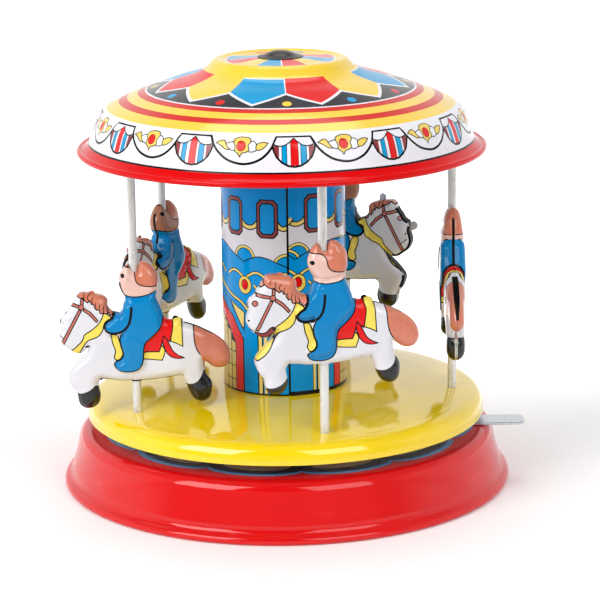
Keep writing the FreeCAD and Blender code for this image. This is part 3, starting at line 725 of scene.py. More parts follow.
def make_cap():
    m = Mesh()
    top = Curve([(0, 161.3), (1.8, 161.2), (3.4, 160.85), (4.6, 160.35), (5.6, 159.85), (6.6, 159.5), (7.6, 159.25), (8.35, 159.1),
                 (8.3, 158.9)])
    st = np.linspace(0, top.length, 26)
    p, n = top.frame(st)
    n[0] = (0, 1)
    p[0, 0] = 0.0
    spin(m, p, n, ["cap"] * 25, RING[::4])
    spin_line(m, [(8.3, 158.9), (2.0, 158.9)], "tin", RING[::4])
    spin_line(m, [(2.0, 158.9), (2.0, 160.1)], "tin", RING[::4])
    spin_line(m, [(2.0, 160.1), (0.0, 160.1)], "tin", RING[::4])
    m.build("roof_cap_dome", "turntable", ["roof_cap"])


# ---------------------------------------------------------------------------
# flat and domed discs, triangulated in plan
# ---------------------------------------------------------------------------
def ring_xy(r, az=RING[:-1]):
    a = np.asarray(az) * DEG
    return np.stack([r * np.cos(a), r * np.sin(a)], 1)


def plan_disc(mesh, outer, holes, loops, points, height, shapes, base, under, thick):
    """Sheet over a plan outline with holes: printed top, plain underside, walls at the holes.
    height(xy) gives z and the normal."""
    V, T = cdt([outer] + holes + loops + [p for p, _ in shapes], (), points)
    mid = V[T].mean(1)
    keep = inside(outer, mid)
    for h in holes:
        keep &= ~inside(h, mid)
    T = T[keep]
    lab = paint(V, T, shapes, base)
    z, nn = height(V)
    P = np.column_stack([V, z])
    mesh.add(P[T], nn[T], lab)
    # the printed shapes may cut the hole edges: the walls and the underside take the same points
    finer = []
    for h in holes:
        q = []
        for a, b in zip(h, np.roll(h, -1, 0)):
            d = np.asarray(b) - a
            k = (V - a) @ d / (d @ d)
            off = np.linalg.norm(V - a - np.outer(k, d), axis=1)
            on = np.nonzero((off < 1e-3) & (k > 1e-3) & (k < 1 - 1e-3))[0]
            q.append(np.asarray(a, float))
            q += [V[j] for j in on[np.argsort(k[on])]]
        finer.append(np.array(q))
    holes = finer
    V2, T2 = cdt([outer] + holes + loops, (), points)
    mid = V2[T2].mean(1)
    keep = inside(outer, mid)
    for h in holes:
        keep &= ~inside(h, mid)
    T2 = T2[keep][:, ::-1]
    z2, n2 = height(V2)
    P2 = np.column_stack([V2, z2 - thick])
    mesh.add(P2[T2], -n2[T2], [under] * len(T2))
    for h in holes:
        h = ccw(h)
        zh, _ = height(h)
        a = np.column_stack([h, zh])
        b = np.column_stack([h, zh - thick])
        q = np.stack([a, np.roll(a, -1, 0), np.roll(b, -1, 0), b], 1)
        d = np.roll(h, -1, 0) - h
        n = np.column_stack([-d[:, 1], d[:, 0], np.zeros(len(h))])
        mesh.add(q, np.repeat(n[:, None, :], 4, 1), ["edge"] * len(h))


# ---------------------------------------------------------------------------
# base
# ---------------------------------------------------------------------------
def make_base():
    m = Mesh()
    deck_r = 73.7
    a = np.linspace(90, 8, 15) * DEG
    arc = [(73.7 + 4.5 * math.cos(t), 16.5 + 4.5 * math.sin(t)) for t in a]
    skirt = Curve(arc + [(79.3, 11.9), (80.9, 6.2), (81.2, 4.4), (81.6, 3.7), (82.4, 3.15), (83.3, 2.7), (83.85, 2.05),
                         (84, 1.3), (83.85, 0.6), (83.45, 0.12), (83.0, 0.0)])
    st = np.concatenate([np.linspace(0, 6.44, 15), np.linspace(6.44, skirt.length, 44)[1:]])
    p, n = skirt.frame(st)
    n[0] = (0, 1)
    p[0] = (73.7, 21.0)
    p[:, 1] = np.maximum(p[:, 1], 0.0)
    spin(m, p, n, ["base_red"] * (len(st) - 1))
    hem = Curve([(83.0, 0.0), (81.9, 0.0), (81.4, 0.12), (81.0, 0.6), (80.9, 2.6), (80.8, 3.9)])
    p2, n2 = hem.frame(np.linspace(0, hem.length, 14))
    p2[:, 1] = np.maximum(p2[:, 1], 0.0)
    n2[0] = (0, -1)
    spin(m, p2, n2, ["base_red"] * 13)
    inn = []
    for s in np.linspace(0, skirt.length, 60):
        q, nn = skirt.frame(np.array([s]))
        q = q[0] - nn[0] * 0.5
        if q[1] > 5.0:
            inn.append((q[0], q[1], -nn[0][0], -nn[0][1]))
    inn = np.array(inn[::-1])
    inn[-1, :2] = (73.7, 20.5)
    spin(m, inn[:, :2], inn[:, 2:], ["tin"] * (len(inn) - 1))
    spin_line(m, [tuple(p2[-1]), tuple(inn[0, :2])], "tin")

    def flat(V):
        return np.full(len(V), 21.0), np.tile([0.0, 0.0, 1.0], (len(V), 1))

    # scalloped border printed on the deck, its inks painted lighter as painted light for the deck in the platform's
    # shade
    shapes = []

    def border(drop):
        pts = []
        for k in range(12):
            for t in np.linspace(0, 1, 19)[:-1]:
                z = -85.5 + 30 * (k + t)
                # the print drifts outwards on the lever's side
                r = 65.4 + 4.1 * max(0.0, 1 - (2 * t - 1) ** 2) ** 0.62 + 1.7 * (0.5 + 0.5 * math.cos((z + 25) * DEG)) ** 2
                pts.append((r, z))
        q = np.array([(r * math.cos(z * DEG), r * math.sin(z * DEG)) for r, z in pts])
        if drop:
            q = q * np.array([[1 - drop / r] for r, _ in pts])
        return q

    shapes.append((ring_xy(72.9, np.arange(0, 360, 2.0)), "deck_red"))
    shapes.append((border(0.0), "deck_blue"))
    shapes.append((border(2.0), "deck_dark"))
    shapes.append((border(2.9), "charcoal"))
    for k in range(12):
        c = -85.5 + 30 * k + 15
        q = []
        for t in np.arange(28) * 2 * math.pi / 28:
            r = 59.6 + 4.6 * math.sin(t)
            z = c + 11.4 * math.cos(t)
            q.append((r * math.cos(z * DEG), r * math.sin(z * DEG)))
        shapes.append((np.array(q), "deck_tan"))
        tri = [(64.3, c - 15), (58.8, c - 17.2), (58.8, c - 12.8)]
        shapes.append((np.array([(r * math.cos(z * DEG), r * math.sin(z * DEG)) for r, z in tri]), "black"))
    shapes.append((ring_xy(54.4, np.arange(0, 360, 2.0)), "red"))
    slot = np.array([(42.6, -17.2), (48.8, -17.2), (48.8, -11.2), (42.6, -11.2)])
    rivet = oval(62.0, -8.0, 1.5, 1.5, 24)
    hub = ring_xy(5.0, np.arange(0, 360, 7.5))
    plan_disc(m, ring_xy(deck_r), [hub, slot, rivet], [ring_xy(30, np.arange(0, 360, 4.0)), ring_xy(50, np.arange(0, 360, 3.0))],
              [], flat, shapes, "red", "tin", 0.5)
    m.build("base_shell_print", "base", ["base_shell"])


# ---------------------------------------------------------------------------
# platform
# ---------------------------------------------------------------------------
POLE_R = 62.7
POLE_AZ = [-149.5 + 72.0 * i for i in range(5)]
POLES = [(POLE_R * math.cos(a * DEG), POLE_R * math.sin(a * DEG)) for a in POLE_AZ]


def make_platform():
    m = Mesh()
    gc, gw, gd = 67.2, 1.3, 0.03

    def height(V):
        r = np.hypot(V[:, 0], V[:, 1])
        x = np.clip(r - 24.0, 0, None)
        z = 36.6 - 0.0016 * x**2
        dz = -0.0032 * x
        g = np.clip((r - gc) / gw, -1, 1)
        z = z - gd * 0.5 * (1 + np.cos(math.pi * g))
        dz = dz + gd * 0.5 * math.pi / gw * np.sin(math.pi * g)
        nn = np.column_stack([-dz * V[:, 0] / np.maximum(r, 1e-9), -dz * V[:, 1] / np.maximum(r, 1e-9), np.ones(len(V))])
        return z, nn / np.linalg.norm(nn, axis=1)[:, None]

    holes = [ring_xy(2.0, np.arange(0, 360, 15.0))] + [oval(x, y, 1.66, 1.66, 28) for x, y in POLES]
    loops = [ring_xy(r, np.arange(0, 360, st)) for r, st in ((12, 10.0), (24, 4.0), (30, 3.0), (36, 3.0), (42, 2.5), (48, 2.0),
                                                               (53, 2.0), (57.5, 2.0))]
    loops += [ring_xy(r) for r in (65.4, 65.9, 66.25, 66.6, 66.9, 67.2, 67.5, 67.8, 68.15, 68.5)]
    edge_r = 69.0
    plan_disc(m, ring_xy(edge_r), holes, loops, [], height, [], "platform_yellow", "tin", 0.4)
    z_e, _ = height(np.array([[edge_r, 0.0]]))
    rim = Curve([(edge_r, float(z_e[0])), (70.4, 33.05), (71.6, 32.6), (72.7, 31.9), (73.5, 31.0), (74.05, 29.9), (74.35, 28.7),
                 (74.5, 27.4), (74.5, 26.2)])
    st = np.linspace(0, rim.length, 26)
    p, n = rim.frame(st)
    n[0] = height(np.array([[edge_r, 0.0]]))[1][0][[0, 2]]
    spin(m, p, n, ["platform_yellow"] * 25)
    inn = p - n * 0.4
    inn[0] = (edge_r, z_e[0] - 0.4)
    inn[-1] = (74.1, 26.2)
    spin(m, inn[::-1], -n[::-1], ["tin"] * 25)
    spin_line(m, [(74.5, 26.2), (74.1, 26.2)], "edge")
    m.build("platform_disc", "turntable", ["platform"])


# ---------------------------------------------------------------------------
# column: printed sheet rolled into a tube, lapped at the front
# ---------------------------------------------------------------------------
def make_column():
    m = Mesh()
    R, z0, z1, seam = 23.1, 36.6, 128.5, -85.2
    k = R * DEG
    shapes = []

    def lift(p):
        p = np.array(p, float)
        p[:, 1] += 0.9 - 1.8 * (p[:, 0] / k) / 360.0
        return p

    def put(poly, name):
        """Polygon in (length round the tube from the seam, z), drawn wherever it wraps into the sheet."""
        p = np.array(poly, float)
        for turn in (-1, 0, 1):
            q = p + [turn * 360.0 * k, 0]
            if q[:, 0].max() > 0 and q[:, 0].min() < 360.0 * k:
                shapes.append((lift(q), name))

    def az(pts):
        return np.array([((a - seam) * k, z) for a, z in pts], float)

    def line(pts, w, name, step=0.8):
        put(stroke(smooth_path(az(pts), step), w), name)

    def trim(pts, w_in, w_out, name="cream", step=0.8):
        line(pts, w_out, "black", step)
        line(pts, w_in, name, step)

    # lower field
    put(az([(-90, z0 - 3), (280, z0 - 3), (280, 86.0), (-90, 86.0)]), "blue")
    half = [(-175, 92.3), (-165, 93.0), (-155, 92.2), (-145, 90.3), (-136, 88.6), (-128.5, 87.2)]
    front = [(-128.5, 87.2), (-122, 88.6), (-113, 89.6), (-105, 89.1), (-96, 87.6), (-87, 86.0)]
    right = [(-79.3, 87.2), (-72, 88.9), (-62, 90.8), (-50, 92.4), (-40, 93.0), (-25, 92.6), (-10, 92.2), (5, 92.3)]
    stub = [(-87.0, 89.4), (-83.5, 88.3), (-79.3, 87.2)]
    back_front = [(51.5, 87.2), (58, 88.6), (67, 89.6), (75, 89.1), (84, 88.4), (95, 88.0), (104, 87.2)]
    hills = [half, front, right, stub, [(5, 92.3), (15, 93.0), (25, 92.2), (35, 90.3), (44, 88.6), (51.5, 87.2)], back_front,
             [(104, 87.2), (112, 88.9), (121, 90.8), (133, 92.4), (143, 93.0), (158, 92.6), (172, 92.2), (185, 92.3)]]
    for h in hills:
        top = smooth_path(az(h), 0.8)
        put(np.vstack([top, [[top[-1][0], 80.0], [top[0][0], 80.0]]]), "blue")
    # trimmed arches behind the hills, then the hill lines
    arches = [-128.5, -77.1, -25.6, 25.8, 77.2, 128.7, 180.1]

    def arch(c, hw, peak=92.9, foot=88.6):
        pts = [(c + hw * math.sin(t * DEG), foot + (peak - foot) * math.cos(t * DEG)) for t in range(-90, 91, 15)]
        q = smooth_path(az(pts), 0.7)
        put(offset(q[::-1], -0.62, False)[::-1], "black")
        put(np.vstack([offset(q, -0.62, False), [[q[-1][0] + .4, foot - 2], [q[0][0] - .4, foot - 2]]]), "black")
        put(np.vstack([offset(q, -0.30, False), [[q[-1][0] + .2, foot - 2], [q[0][0] - .2, foot - 2]]]), "cream")
        put(np.vstack([offset(q, 0.45, False), [[q[-1][0] - .3, foot - 2], [q[0][0] + .3, foot - 2]]]), "black")
        put(np.vstack([offset(q, 0.78, False), [[q[-1][0] - .5, foot - 2], [q[0][0] + .5, foot - 2]]]), "blue")

    for c in arches:
        arch(c, 10.5)
    arch(-87.0 + 360.0, 11.5, 90.6, 86.6)
    for h in hills:
        top = smooth_path(az(h), 0.8)
        put(np.vstack([top, [[top[-1][0], 80.0], [top[0][0], 80.0]]]), "blue")
        put(stroke(top, 0.42), "black")
    # cords with a hanging medallion
    for c in arches:
        for sg in (-1, 1):
            trim([(c + sg * 0.6, 80.9), (c + sg * 4.5, 82.2), (c + sg * 9, 83.2), (c + sg * 13, 83.5), (c + sg * 17.5, 82.9),
                  (c + sg * 22.5, 81.4)], 0.75, 1.4)
        q = oval((c - seam) * k, 78.4, 7.0 * k, 3.2, 30)
        put(offset(q, 0.32), "black")
        put(q, "gold")
        put(oval((c - seam) * k, 78.6, 3.9 * k, 2.05, 24), "black")
        put(oval((c - seam) * k, 78.6, 3.3 * k, 1.75, 24), "print_red")
        trim([(c + 10.0, 78.8), (c + 15.5, 76.5)], 0.7, 1.35)
    # two doorways, mirrored about the middle of the panel between them
    for mid, sgn in ((-175.0, 1), (-175.0, -1), (5.0, 1), (5.0, -1)):
        def d(a, z, mid=mid, sgn=sgn):
            return (mid + sgn * (a + 175.0), z)

        # wedge of red with the tilted arch edge
        put(az([d(-175, 36), d(-131.4, 36), d(-131.4, 58.2), d(-144.5, 65.6), d(-161, 69.9), d(-168, 71.4), d(-175, 72.0)]), "black")
        put(az([d(-175, 36), d(-132.1, 36), d(-132.1, 57.8), d(-144.8, 65.0), d(-161, 69.2), d(-168, 70.7), d(-175, 71.3)]), "print_red")
        put(az([d(-175, 36), d(-141.2, 36), d(-141.2, 55.6), d(-151, 61.2), d(-162, 64.4), d(-169, 65.6), d(-175, 66.0)]), "black")
        # slatted door
        for a0, a1, top in ((-148.0, -142.2, 56.0), (-155.2, -149.2, 60.0), (-162.6, -156.4, 62.6), (-169.6, -163.8, 64.2),
                            (-175.0, -170.8, 65.0)):
            put(az([d(a0, 37.2), d(a1, 37.2), d(a1, top - 0.5), d(a0, top + 0.3)]), "ochre")
        for z in (41.5, 46.8, 52.2):
            put(az([d(-160.0, z), d(-142.5, z - 0.35), d(-142.5, z + 0.0), d(-160.0, z + 0.35)]), "black")
        tri = az([d(-148, 71.4), d(-129.4, 68.0), d(-130.2, 61.9), d(-132.5, 62.2), d(-140, 66.6)])
        for s_, n_ in outlined(tri, 0.5, "cream"):
            put(s_, n_)
        line([d(-175, 74.2), d(-165, 73.6), d(-152, 71.6), d(-141.5, 67.3), d(-129.6, 60.3)], 0.35, "black", 2.0)
        trim([d(-172, 78.2), d(-160, 76.2), d(-146, 73.6), d(-133, 71.7), d(-122.6, 67.9)], 0.75, 1.5)
        # double stripes beside the middle panel
        put(az([d(-116.0, 36), d(-110.1, 36), d(-110.1, 67.5), d(-116.0, 69.5)]), "black")
        put(az([d(-114.6, 36), d(-111.5, 36), d(-111.5, 67.2), d(-114.6, 68.2)]), "cream")
        put(az([d(-109.2, 36), d(-105.9, 36), d(-105.9, 66.2), d(-109.2, 67.0)]), "black")
        put(az([d(-109.2, 36), d(-106.6, 36), d(-106.6, 65.8), d(-109.2, 66.6)]), "cream")
        put(az([d(-131.4, 36), d(-130.6, 36), d(-130.6, 58.0), d(-131.4, 58.4)]), "black")
    put(az([(-90, 34.0), (280, 34.0), (280, 37.35), (-90, 37.35)]), "black")

    # upper field with framed panels and a scalloped trim
    put(az([(-90, 103.0), (280, 103.0), (280, 132.0), (-90, 132.0)]), "deep_blue")
    centres = [-60.7 + 35.12 * i for i in range(10)]
    ends = [(c + 8.6, c + 35.12 - 8.6) for c in [-60.7 - 35.12] + centres[:-1]]
    ends[0] = (-87.4, -69.0)
    ends.append((-104.9 + 360 + 8.6, -83.0 + 360))
    for a, b in ends:
        t = np.linspace(0, 1, 11)
        pts = [(a + (b - a) * x, 102.7 - 2.4 * (4 * x * (1 - x)) ** 0.75) for x in t]
        q = smooth_path(az(pts), 0.7)
        put(np.vstack([q, [[q[-1][0], 106], [q[0][0], 106]]]), "deep_blue")
        put(stroke(q, 2.1), "black")
        put(stroke(q, 1.15), "cream")
    for c in centres:
        def oct_(hw, lo, hi, cx, cz):
            return az([(c - hw + cx, lo), (c + hw - cx, lo), (c + hw, lo + cz), (c + hw, hi - cz), (c + hw - cx, hi),
                       (c - hw + cx, hi), (c - hw, hi - cz), (c - hw, lo + cz)])

        put(oct_(10.3, 96.6, 111.1, 4.1, 1.75), "black")
        put(oct_(9.15, 97.08, 110.62, 3.75, 1.55), "brown_red")
        put(oct_(7.3, 97.95, 109.75, 3.0, 1.3), "black")
        put(oct_(6.2, 98.42, 109.28, 2.5, 1.05), "blue")

    rows = [z0, z1]
    grid = np.arange(0, 361, 2.0)
    lines = [[(g * k, z0), (g * k, z1)] for g in grid] + [[(0, z), (360 * k, z)] for z in rows]
    # black band round the foot of the sheet
    shapes.append((np.array([(-k, z0 - 1), (361 * k, z0 - 1), (361 * k, z0 + 0.62), (-k, z0 + 0.62)]), "black"))
    # painted shadow of the lap on the lower layer, a black strip beside the seam
    shapes.append((np.array([(358.1 * k, z0 - 1), (360.5 * k, z0 - 1), (360.5 * k, z1 + 1), (358.1 * k, z1 + 1)]), "black"))
    V, T = cdt([p for p, _ in shapes], lines)
    mid = V[T].mean(1)
    T = T[(mid[:, 0] > 0) & (mid[:, 0] < 360 * k) & (mid[:, 1] > z0) & (mid[:, 1] < z1)]
    lab = paint(V, T, shapes, "column_white")
    th = V[:, 0] / k
    near = np.round(th / 2.0) * 2.0
    th = np.where(np.abs(th - near) < 5e-4, near, th)
    zz = V[:, 1].copy()
    for z in rows:
        zz[np.abs(zz - z) < 2e-4] = z
    th, zz = np.round(th, 5), np.round(zz, 5)

    def radius(t):
        u = np.clip((t - 4.0) / 4.0, 0, 1)
        return R + 0.3 * (1 - u * u * (3 - 2 * u)) - 0.16 * np.clip((t - 357.2) / 2.8, 0, 1)

    rr = radius(th)
    a = (seam + th) * DEG
    P = np.column_stack([rr * np.cos(a), rr * np.sin(a), zz])
    Nn = np.column_stack([np.cos(a), np.sin(a), np.zeros(len(a))])
    mesh_t = T
    m.add(P[mesh_t], Nn[mesh_t], lab)
    # end wall of the lap, with the same points along it as both edges
    zs = np.unique(np.concatenate([zz[th == 0], zz[th == 360]]))
    za, zb = np.sort(np.unique(zz[th == 0])), np.sort(np.unique(zz[th == 360]))
    Vw, Tw = cdt([np.vstack([np.column_stack([np.zeros(len(za)), za]), np.column_stack([np.ones(len(zb)) * 3.0, zb])[::-1]])])
    Vw = np.round(Vw, 5)
    ra, rb = float(radius(np.array([0.0]))[0]), float(radius(np.array([360.0]))[0])
    rw = ra + (rb - ra) * np.round(Vw[:, 0] / 3.0)
    aw = seam * DEG
    Pw = np.column_stack([rw * math.cos(aw), rw * math.sin(aw), Vw[:, 1]])
    nw = np.array([math.sin(aw), -math.cos(aw), 0.0])
    e1 = np.cross(Pw[Tw[:, 1]] - Pw[Tw[:, 0]], Pw[Tw[:, 2]] - Pw[Tw[:, 0]])
    Tw[e1 @ nw < 0] = Tw[e1 @ nw < 0][:, ::-1]
    m.add(Pw[Tw], np.tile(nw, (len(Tw), 3, 1)), ["edge"] * len(Tw))
    # bore and end faces
    ri = R - 0.4
    ga = (seam + grid) * DEG
    for zed, up in ((z1, 1), (z0, -1)):
        # the outer edge carries the points of the printed sheet
        tt = np.unique(np.concatenate([th[zz == zed], grid]))
        ot = (seam + tt) * DEG
        o = np.column_stack([radius(tt) * np.cos(ot), radius(tt) * np.sin(ot), np.full(len(tt), zed)])
        i = np.column_stack([ri * np.cos(ga), ri * np.sin(ga), np.full(len(ga), zed)])
        q = []
        for c in range(len(grid) - 1):
            j = np.nonzero((tt >= grid[c]) & (tt <= grid[c + 1]))[0]
            q += [[o[a], o[b], i[c]] for a, b in zip(j, j[1:])] + [[o[j[-1]], i[c + 1], i[c]]]
        # at the seam the lower layer ends on this same edge
        w = np.array([rb * math.cos(aw), rb * math.sin(aw), zed])
        q = [[o[0], o[1], w], [w, o[1], i[0]]] + q[1:]
        q = np.array(q)
        if up < 0:
            q = q[:, ::-1]
        m.add(q, np.tile([0.0, 0.0, float(up)], (len(q), 3, 1)), ["edge"] * len(q))
    ring = np.column_stack([ri * np.cos(ga), ri * np.sin(ga)])
    lo = np.column_stack([ring, np.full(len(ga), z0)])
    hi = np.column_stack([ring, np.full(len(ga), z1)])
    q = np.stack([hi[:-1], hi[1:], lo[1:], lo[:-1]], 1)
    nn = np.column_stack([-np.cos(ga), -np.sin(ga), np.zeros(len(ga))])
    qn = np.stack([nn[:-1], nn[1:], nn[1:], nn[:-1]], 1)
    m.add(q, qn, ["tin"] * len(q))
    m.build("column_print_tube", "turntable", ["column"])


# ---------------------------------------------------------------------------
# poles
# ---------------------------------------------------------------------------
def make_poles():
    for i, (x, y) in enumerate(POLES):
        m = Mesh()
        seam = POLE_AZ[i] + 200.0
        az = seam + np.concatenate([[0, 5, 10], np.linspace(19, 350, 40)[:-1], [350, 355, 360]])
        dip = np.zeros(len(az))
        dip[[0, -1]] = 0.22
        dip[[1, -2]] = 0.10

        def tube(rows, label, inner=False):
            a = az * DEG
            for (r0, w0, n0), (r1, w1, n1) in zip(rows, rows[1:]):
                P, Nn = [], []
                for r, w, n in ((r0, w0, n0), (r1, w1, n1)):
                    rr = r - (dip if r > 1.4 and r < 1.9 else 0)
                    P.append(np.column_stack([x + rr * np.cos(a), y + rr * np.sin(a), np.full(len(a), w)]))
                    nn = np.column_stack([n[0] * np.cos(a), n[0] * np.sin(a), np.full(len(a), n[1])])
                    Nn.append(nn)
                m.quad_grid(np.array(P), np.array(Nn), [label])

        b, o, f = 1.15, 1.6, 2.4
        lo, hi = 32.7, 129.65
        out = (1.0, 0.0)
        up, dn = (0.0, 1.0), (0.0, -1.0)
        tube([(b, hi, up), (f, hi, up)], "pole")
        tube([(f, hi, out), (f, hi - 0.5, out)], "pole")
        tube([(f, hi - 0.5, dn), (o, hi - 0.5, dn)], "pole")
        zz = np.linspace(hi - 0.5, lo + 0.5, 25)
        tube([(o, z, out) for z in zz], "pole")
        tube([(o, lo + 0.5, up), (f, lo + 0.5, up)], "pole")
        tube([(f, lo + 0.5, out), (f, lo, out)], "pole")
        tube([(f, lo, dn), (b, lo, dn)], "pole")
        tube([(b, lo, (-1.0, 0.0)), (b, hi, (-1.0, 0.0))], "tin")
        m.build("pole_%d_tube" % (i + 1), "pole_%d" % (i + 1), ["pole_%d" % (i + 1)])


# ---------------------------------------------------------------------------
# figures: a bear riding a horse, stamped in two halves.
# u runs along the animal (nose negative), w is the height above the belly line.
# ---------------------------------------------------------------------------
OUTLINE = [
    (-1.1, 41.1), (-2.6, 43.9), (-3.8, 42.9), (-5.0, 41.0), (-5.9, 39.2), (-6.2, 37.2), (-5.9, 35.2), (-5.1, 33.2),
    (-4.2, 31.7), (-4.2, 29.7), (-4.7, 28.8), (-5.2, 26.6), (-6.2, 25.1), (-7.0, 25.3), (-8.9, 25.9), (-10.1, 27.0),
    (-10.6, 30.4), (-12.0, 31.5), (-15.4, 32.2), (-18.5, 32.6), (-20.9, 32.2), (-21.9, 31.1), (-23.4, 28.2),
    (-24.6, 26.6), (-25.4, 25.1), (-27.2, 23.7), (-27.8, 21.8), (-27.5, 20.0), (-28.1, 17.8), (-28.4, 16.0),
    (-27.8, 13.9), (-26.9, 12.4), (-25.0, 11.1), (-22.8, 9.8), (-20.6, 9.8), (-18.6, 11.4), (-17.9, 12.2),
    (-18.3, 10.6), (-21.9, 6.7), (-24.6, 3.6), (-25.5, 2.2), (-25.7, 1.2), (-25.2, -1.0), (-24.3, -3.0),
    (-22.7, -4.8), (-22.4, -6.4), (-22.0, -8.6), (-21.4, -9.8), (-19.9, -10.7), (-17.6, -10.7), (-15.8, -9.8),
    (-14.5, -8.1), (-14.1, -5.8), (-14.5, -3.8), (-14.7, -1.2), (-13.6, 0.4), (-10.5, 0.1), (-6.5, -0.3), (-1.2, -0.1),
    (4.2, 0.3), (10.8, 1.4), (16.3, 2.4), (16.8, 1.3), (17.9, -1.1), (18.4, -2.9), (18.8, -3.8), (20.1, -6.0),
    (22.3, -7.3), (24.1, -7.3), (26.3, -5.8), (27.2, -2.7), (27.1, 0.0), (25.9, 2.0), (25.4, 2.5), (24.8, 5.3),
    (24.7, 8.0), (26.4, 6.9), (28.2, 5.8), (30.8, 5.6), (33.0, 6.6), (34.1, 8.4), (32.2, 15.1), (28.7, 17.8),
    (25.6, 19.3), (21.4, 21.1), (19.0, 21.8), (17.4, 22.2), (17.0, 23.5), (15.2, 24.0), (13.2, 23.1), (10.8, 23.4),
    (10.4, 23.6), (9.7, 25.3), (9.1, 27.1), (8.2, 29.3), (7.5, 31.1), (7.6, 32.9), (8.2, 36.0), (8.2, 38.6),
    (7.7, 41.2), (6.1, 43.4), (4.7, 44.5), (2.9, 44.9), (1.8, 44.5), (1.3, 42.9), (1.0, 41.3),
]
HOOD_EDGE = [(-7.2, 38.63), (-5.5, 39.47), (-3.86, 39.65), (-2.3, 39.65), (-1.06, 39.43), (-0.09, 38.94), (0.52, 38.18),
             (0.87, 37.3), (1.03, 36.19), (1.29, 35.16), (2.16, 33.92), (3.04, 33.48), (4.06, 33.26), (6.06, 33.17), (9.17, 33.3)]
NECK = [(-5.08, 29.7), (-2.42, 29.22), (0.24, 28.99), (2.91, 29.3), (5.58, 30.01), (8.26, 31.35)]
SUIT_SIDE = [(11.5, 23.98), (11.25, 21.53), (10.64, 18.65), (9.65, 16.87), (8.43, 15.45), (7.08, 14.12), (5.74, 12.88),
             (4.75, 11.63), (4.33, 9.99), (4.22, 7.99), (4.1, 5.77), (3.73, 4.0), (2.82, 2.44), (1.79, 1.64), (0.59, 1.15),
             (-0.62, 0.89), (-1.86, 0.75), (-3.28, 0.84), (-4.61, 1.11), (-5.84, 1.86), (-6.5, 2.89), (-6.4, 3.64),
             (-5.73, 4.22), (-4.61, 4.71), (-3.71, 5.59), (-3.26, 6.88), (-3.33, 7.99), (-3.89, 9.55), (-4.32, 11.1),
             (-4.48, 12.65), (-4.24, 13.99), (-3.69, 15.23)]
SUIT_ARM = [(-4.81, 14.96), (-6.14, 14.74), (-7.47, 14.7), (-8.8, 14.92), (-9.77, 15.63), (-10.38, 16.65), (-10.42, 17.4),
            (-9.92, 18.43), (-8.97, 19.31), (-7.86, 19.98), (-7.04, 21.31), (-6.58, 22.87), (-6.38, 24.64), (-6.09, 26.42),
            (-5.63, 28.19)]
ARM = [(0.2, 25.75), (0.05, 23.98), (-0.19, 22.2), (-0.48, 20.42), (-0.94, 18.87), (-1.67, 17.4), (-2.57, 16.34), (-3.69, 15.63),
       (-4.8, 15.1), (-6.14, 14.83), (-7.47, 14.79), (-8.8, 15.01), (-9.77, 15.72), (-10.34, 16.65), (-10.37, 17.4),
       (-9.92, 18.43), (-8.97, 19.31), (-7.86, 19.98), (-7.04, 21.31), (-6.58, 22.87), (-6.2, 24.86), (-5.12, 25.97),
       (-3.34, 26.64), (-1.57, 26.42)]
ARM_LINE = [(-0.25, 25.22), (-0.26, 23.98), (-0.42, 22.2), (-0.7, 20.42), (-1.12, 18.87), (-1.85, 17.54), (-2.75, 16.52),
            (-3.82, 15.81), (-4.89, 15.27), (-6.14, 15.01), (-7.47, 14.96), (-8.71, 15.18), (-9.59, 15.81), (-10.11, 16.65),
            (-10.15, 17.32), (-9.7, 18.29), (-8.8, 19.14), (-7.68, 19.8), (-6.86, 21.22), (-6.4, 22.78), (-6.12, 24.64),
            (-6.01, 26.11)]
LEG = [(0.08, 15.1), (4.75, 11.63), (4.33, 9.99), (4.22, 7.99), (4.1, 5.77), (3.73, 4.0), (2.82, 2.44), (1.79, 1.64), (0.59, 1.15),
       (-0.62, 0.89), (-1.86, 0.75), (-3.28, 0.84), (-4.61, 1.11), (-5.84, 1.86), (-6.5, 2.89), (-6.4, 3.64), (-5.73, 4.22),
       (-4.61, 4.71), (-3.71, 5.59), (-3.26, 6.88), (-3.33, 7.99), (-3.89, 9.55), (-4.32, 11.1), (-4.48, 12.65), (-3.48, 14.21)]
MANE = [(-24.2, 27.08), (-23.52, 28.64), (-22.61, 30.41), (-21.71, 31.52), (-20.59, 33.0), (-17.92, 33.4), (-15.26, 33.1),
        (-12.16, 32.4), (-9.4, 31.0), (-8.0, 28.42), (-5.6, 26.42), (-6.03, 23.98), (-6.94, 22.2), (-7.93, 20.96), (-8.72, 22.2),
        (-9.26, 21.53), (-9.88, 21.22), (-10.41, 22.2), (-11.03, 21.67), (-11.74, 21.84), (-12.08, 23.18), (-13.06, 23.0),
        (-13.76, 23.89), (-14.01, 25.09), (-14.81, 25.09), (-15.55, 26.42), (-16.23, 25.66), (-17.2, 26.28), (-17.98, 27.31),
        (-18.96, 27.17), (-20.2, 27.53), (-21.3, 28.42), (-21.97, 27.88), (-22.87, 27.31)]
MANE_LINES = [[(-15.53, 28.64), (-16.29, 27.88), (-16.21, 26.86), (-15.42, 26.28)], [(-14.34, 27.53), (-14.8, 26.28), (-14.28, 25.22)],
              [(-13.47, 25.75), (-13.31, 24.42), (-13.06, 23.18)], [(-11.7, 25.4), (-12.07, 23.98), (-11.65, 21.98)],
              [(-10.38, 24.64), (-10.66, 23.31), (-10.32, 22.2)], [(-17.51, 29.75), (-17.88, 28.5), (-17.36, 27.44)],
              [(-9.32, 23.98), (-9.07, 22.64), (-9.26, 21.76)], [(-19.51, 29.75), (-19.75, 28.42)],
              [(-21.28, 30.55), (-21.69, 29.3), (-21.35, 28.42)]]
CHEEK = [(-19.55, 22.73), (-18.57, 22.38), (-23.94, 11.63), (-24.91, 12.08)]
BROW = [(-24.22, 25.31), (-19.26, 24.33), (-19.36, 23.27), (-24.41, 24.15)]
THROAT = [(-17.58, 23.44), (-15.38, 22.11), (-12.48, 19.0), (-13.11, 18.29), (-15.62, 20.78), (-18.04, 22.47)]
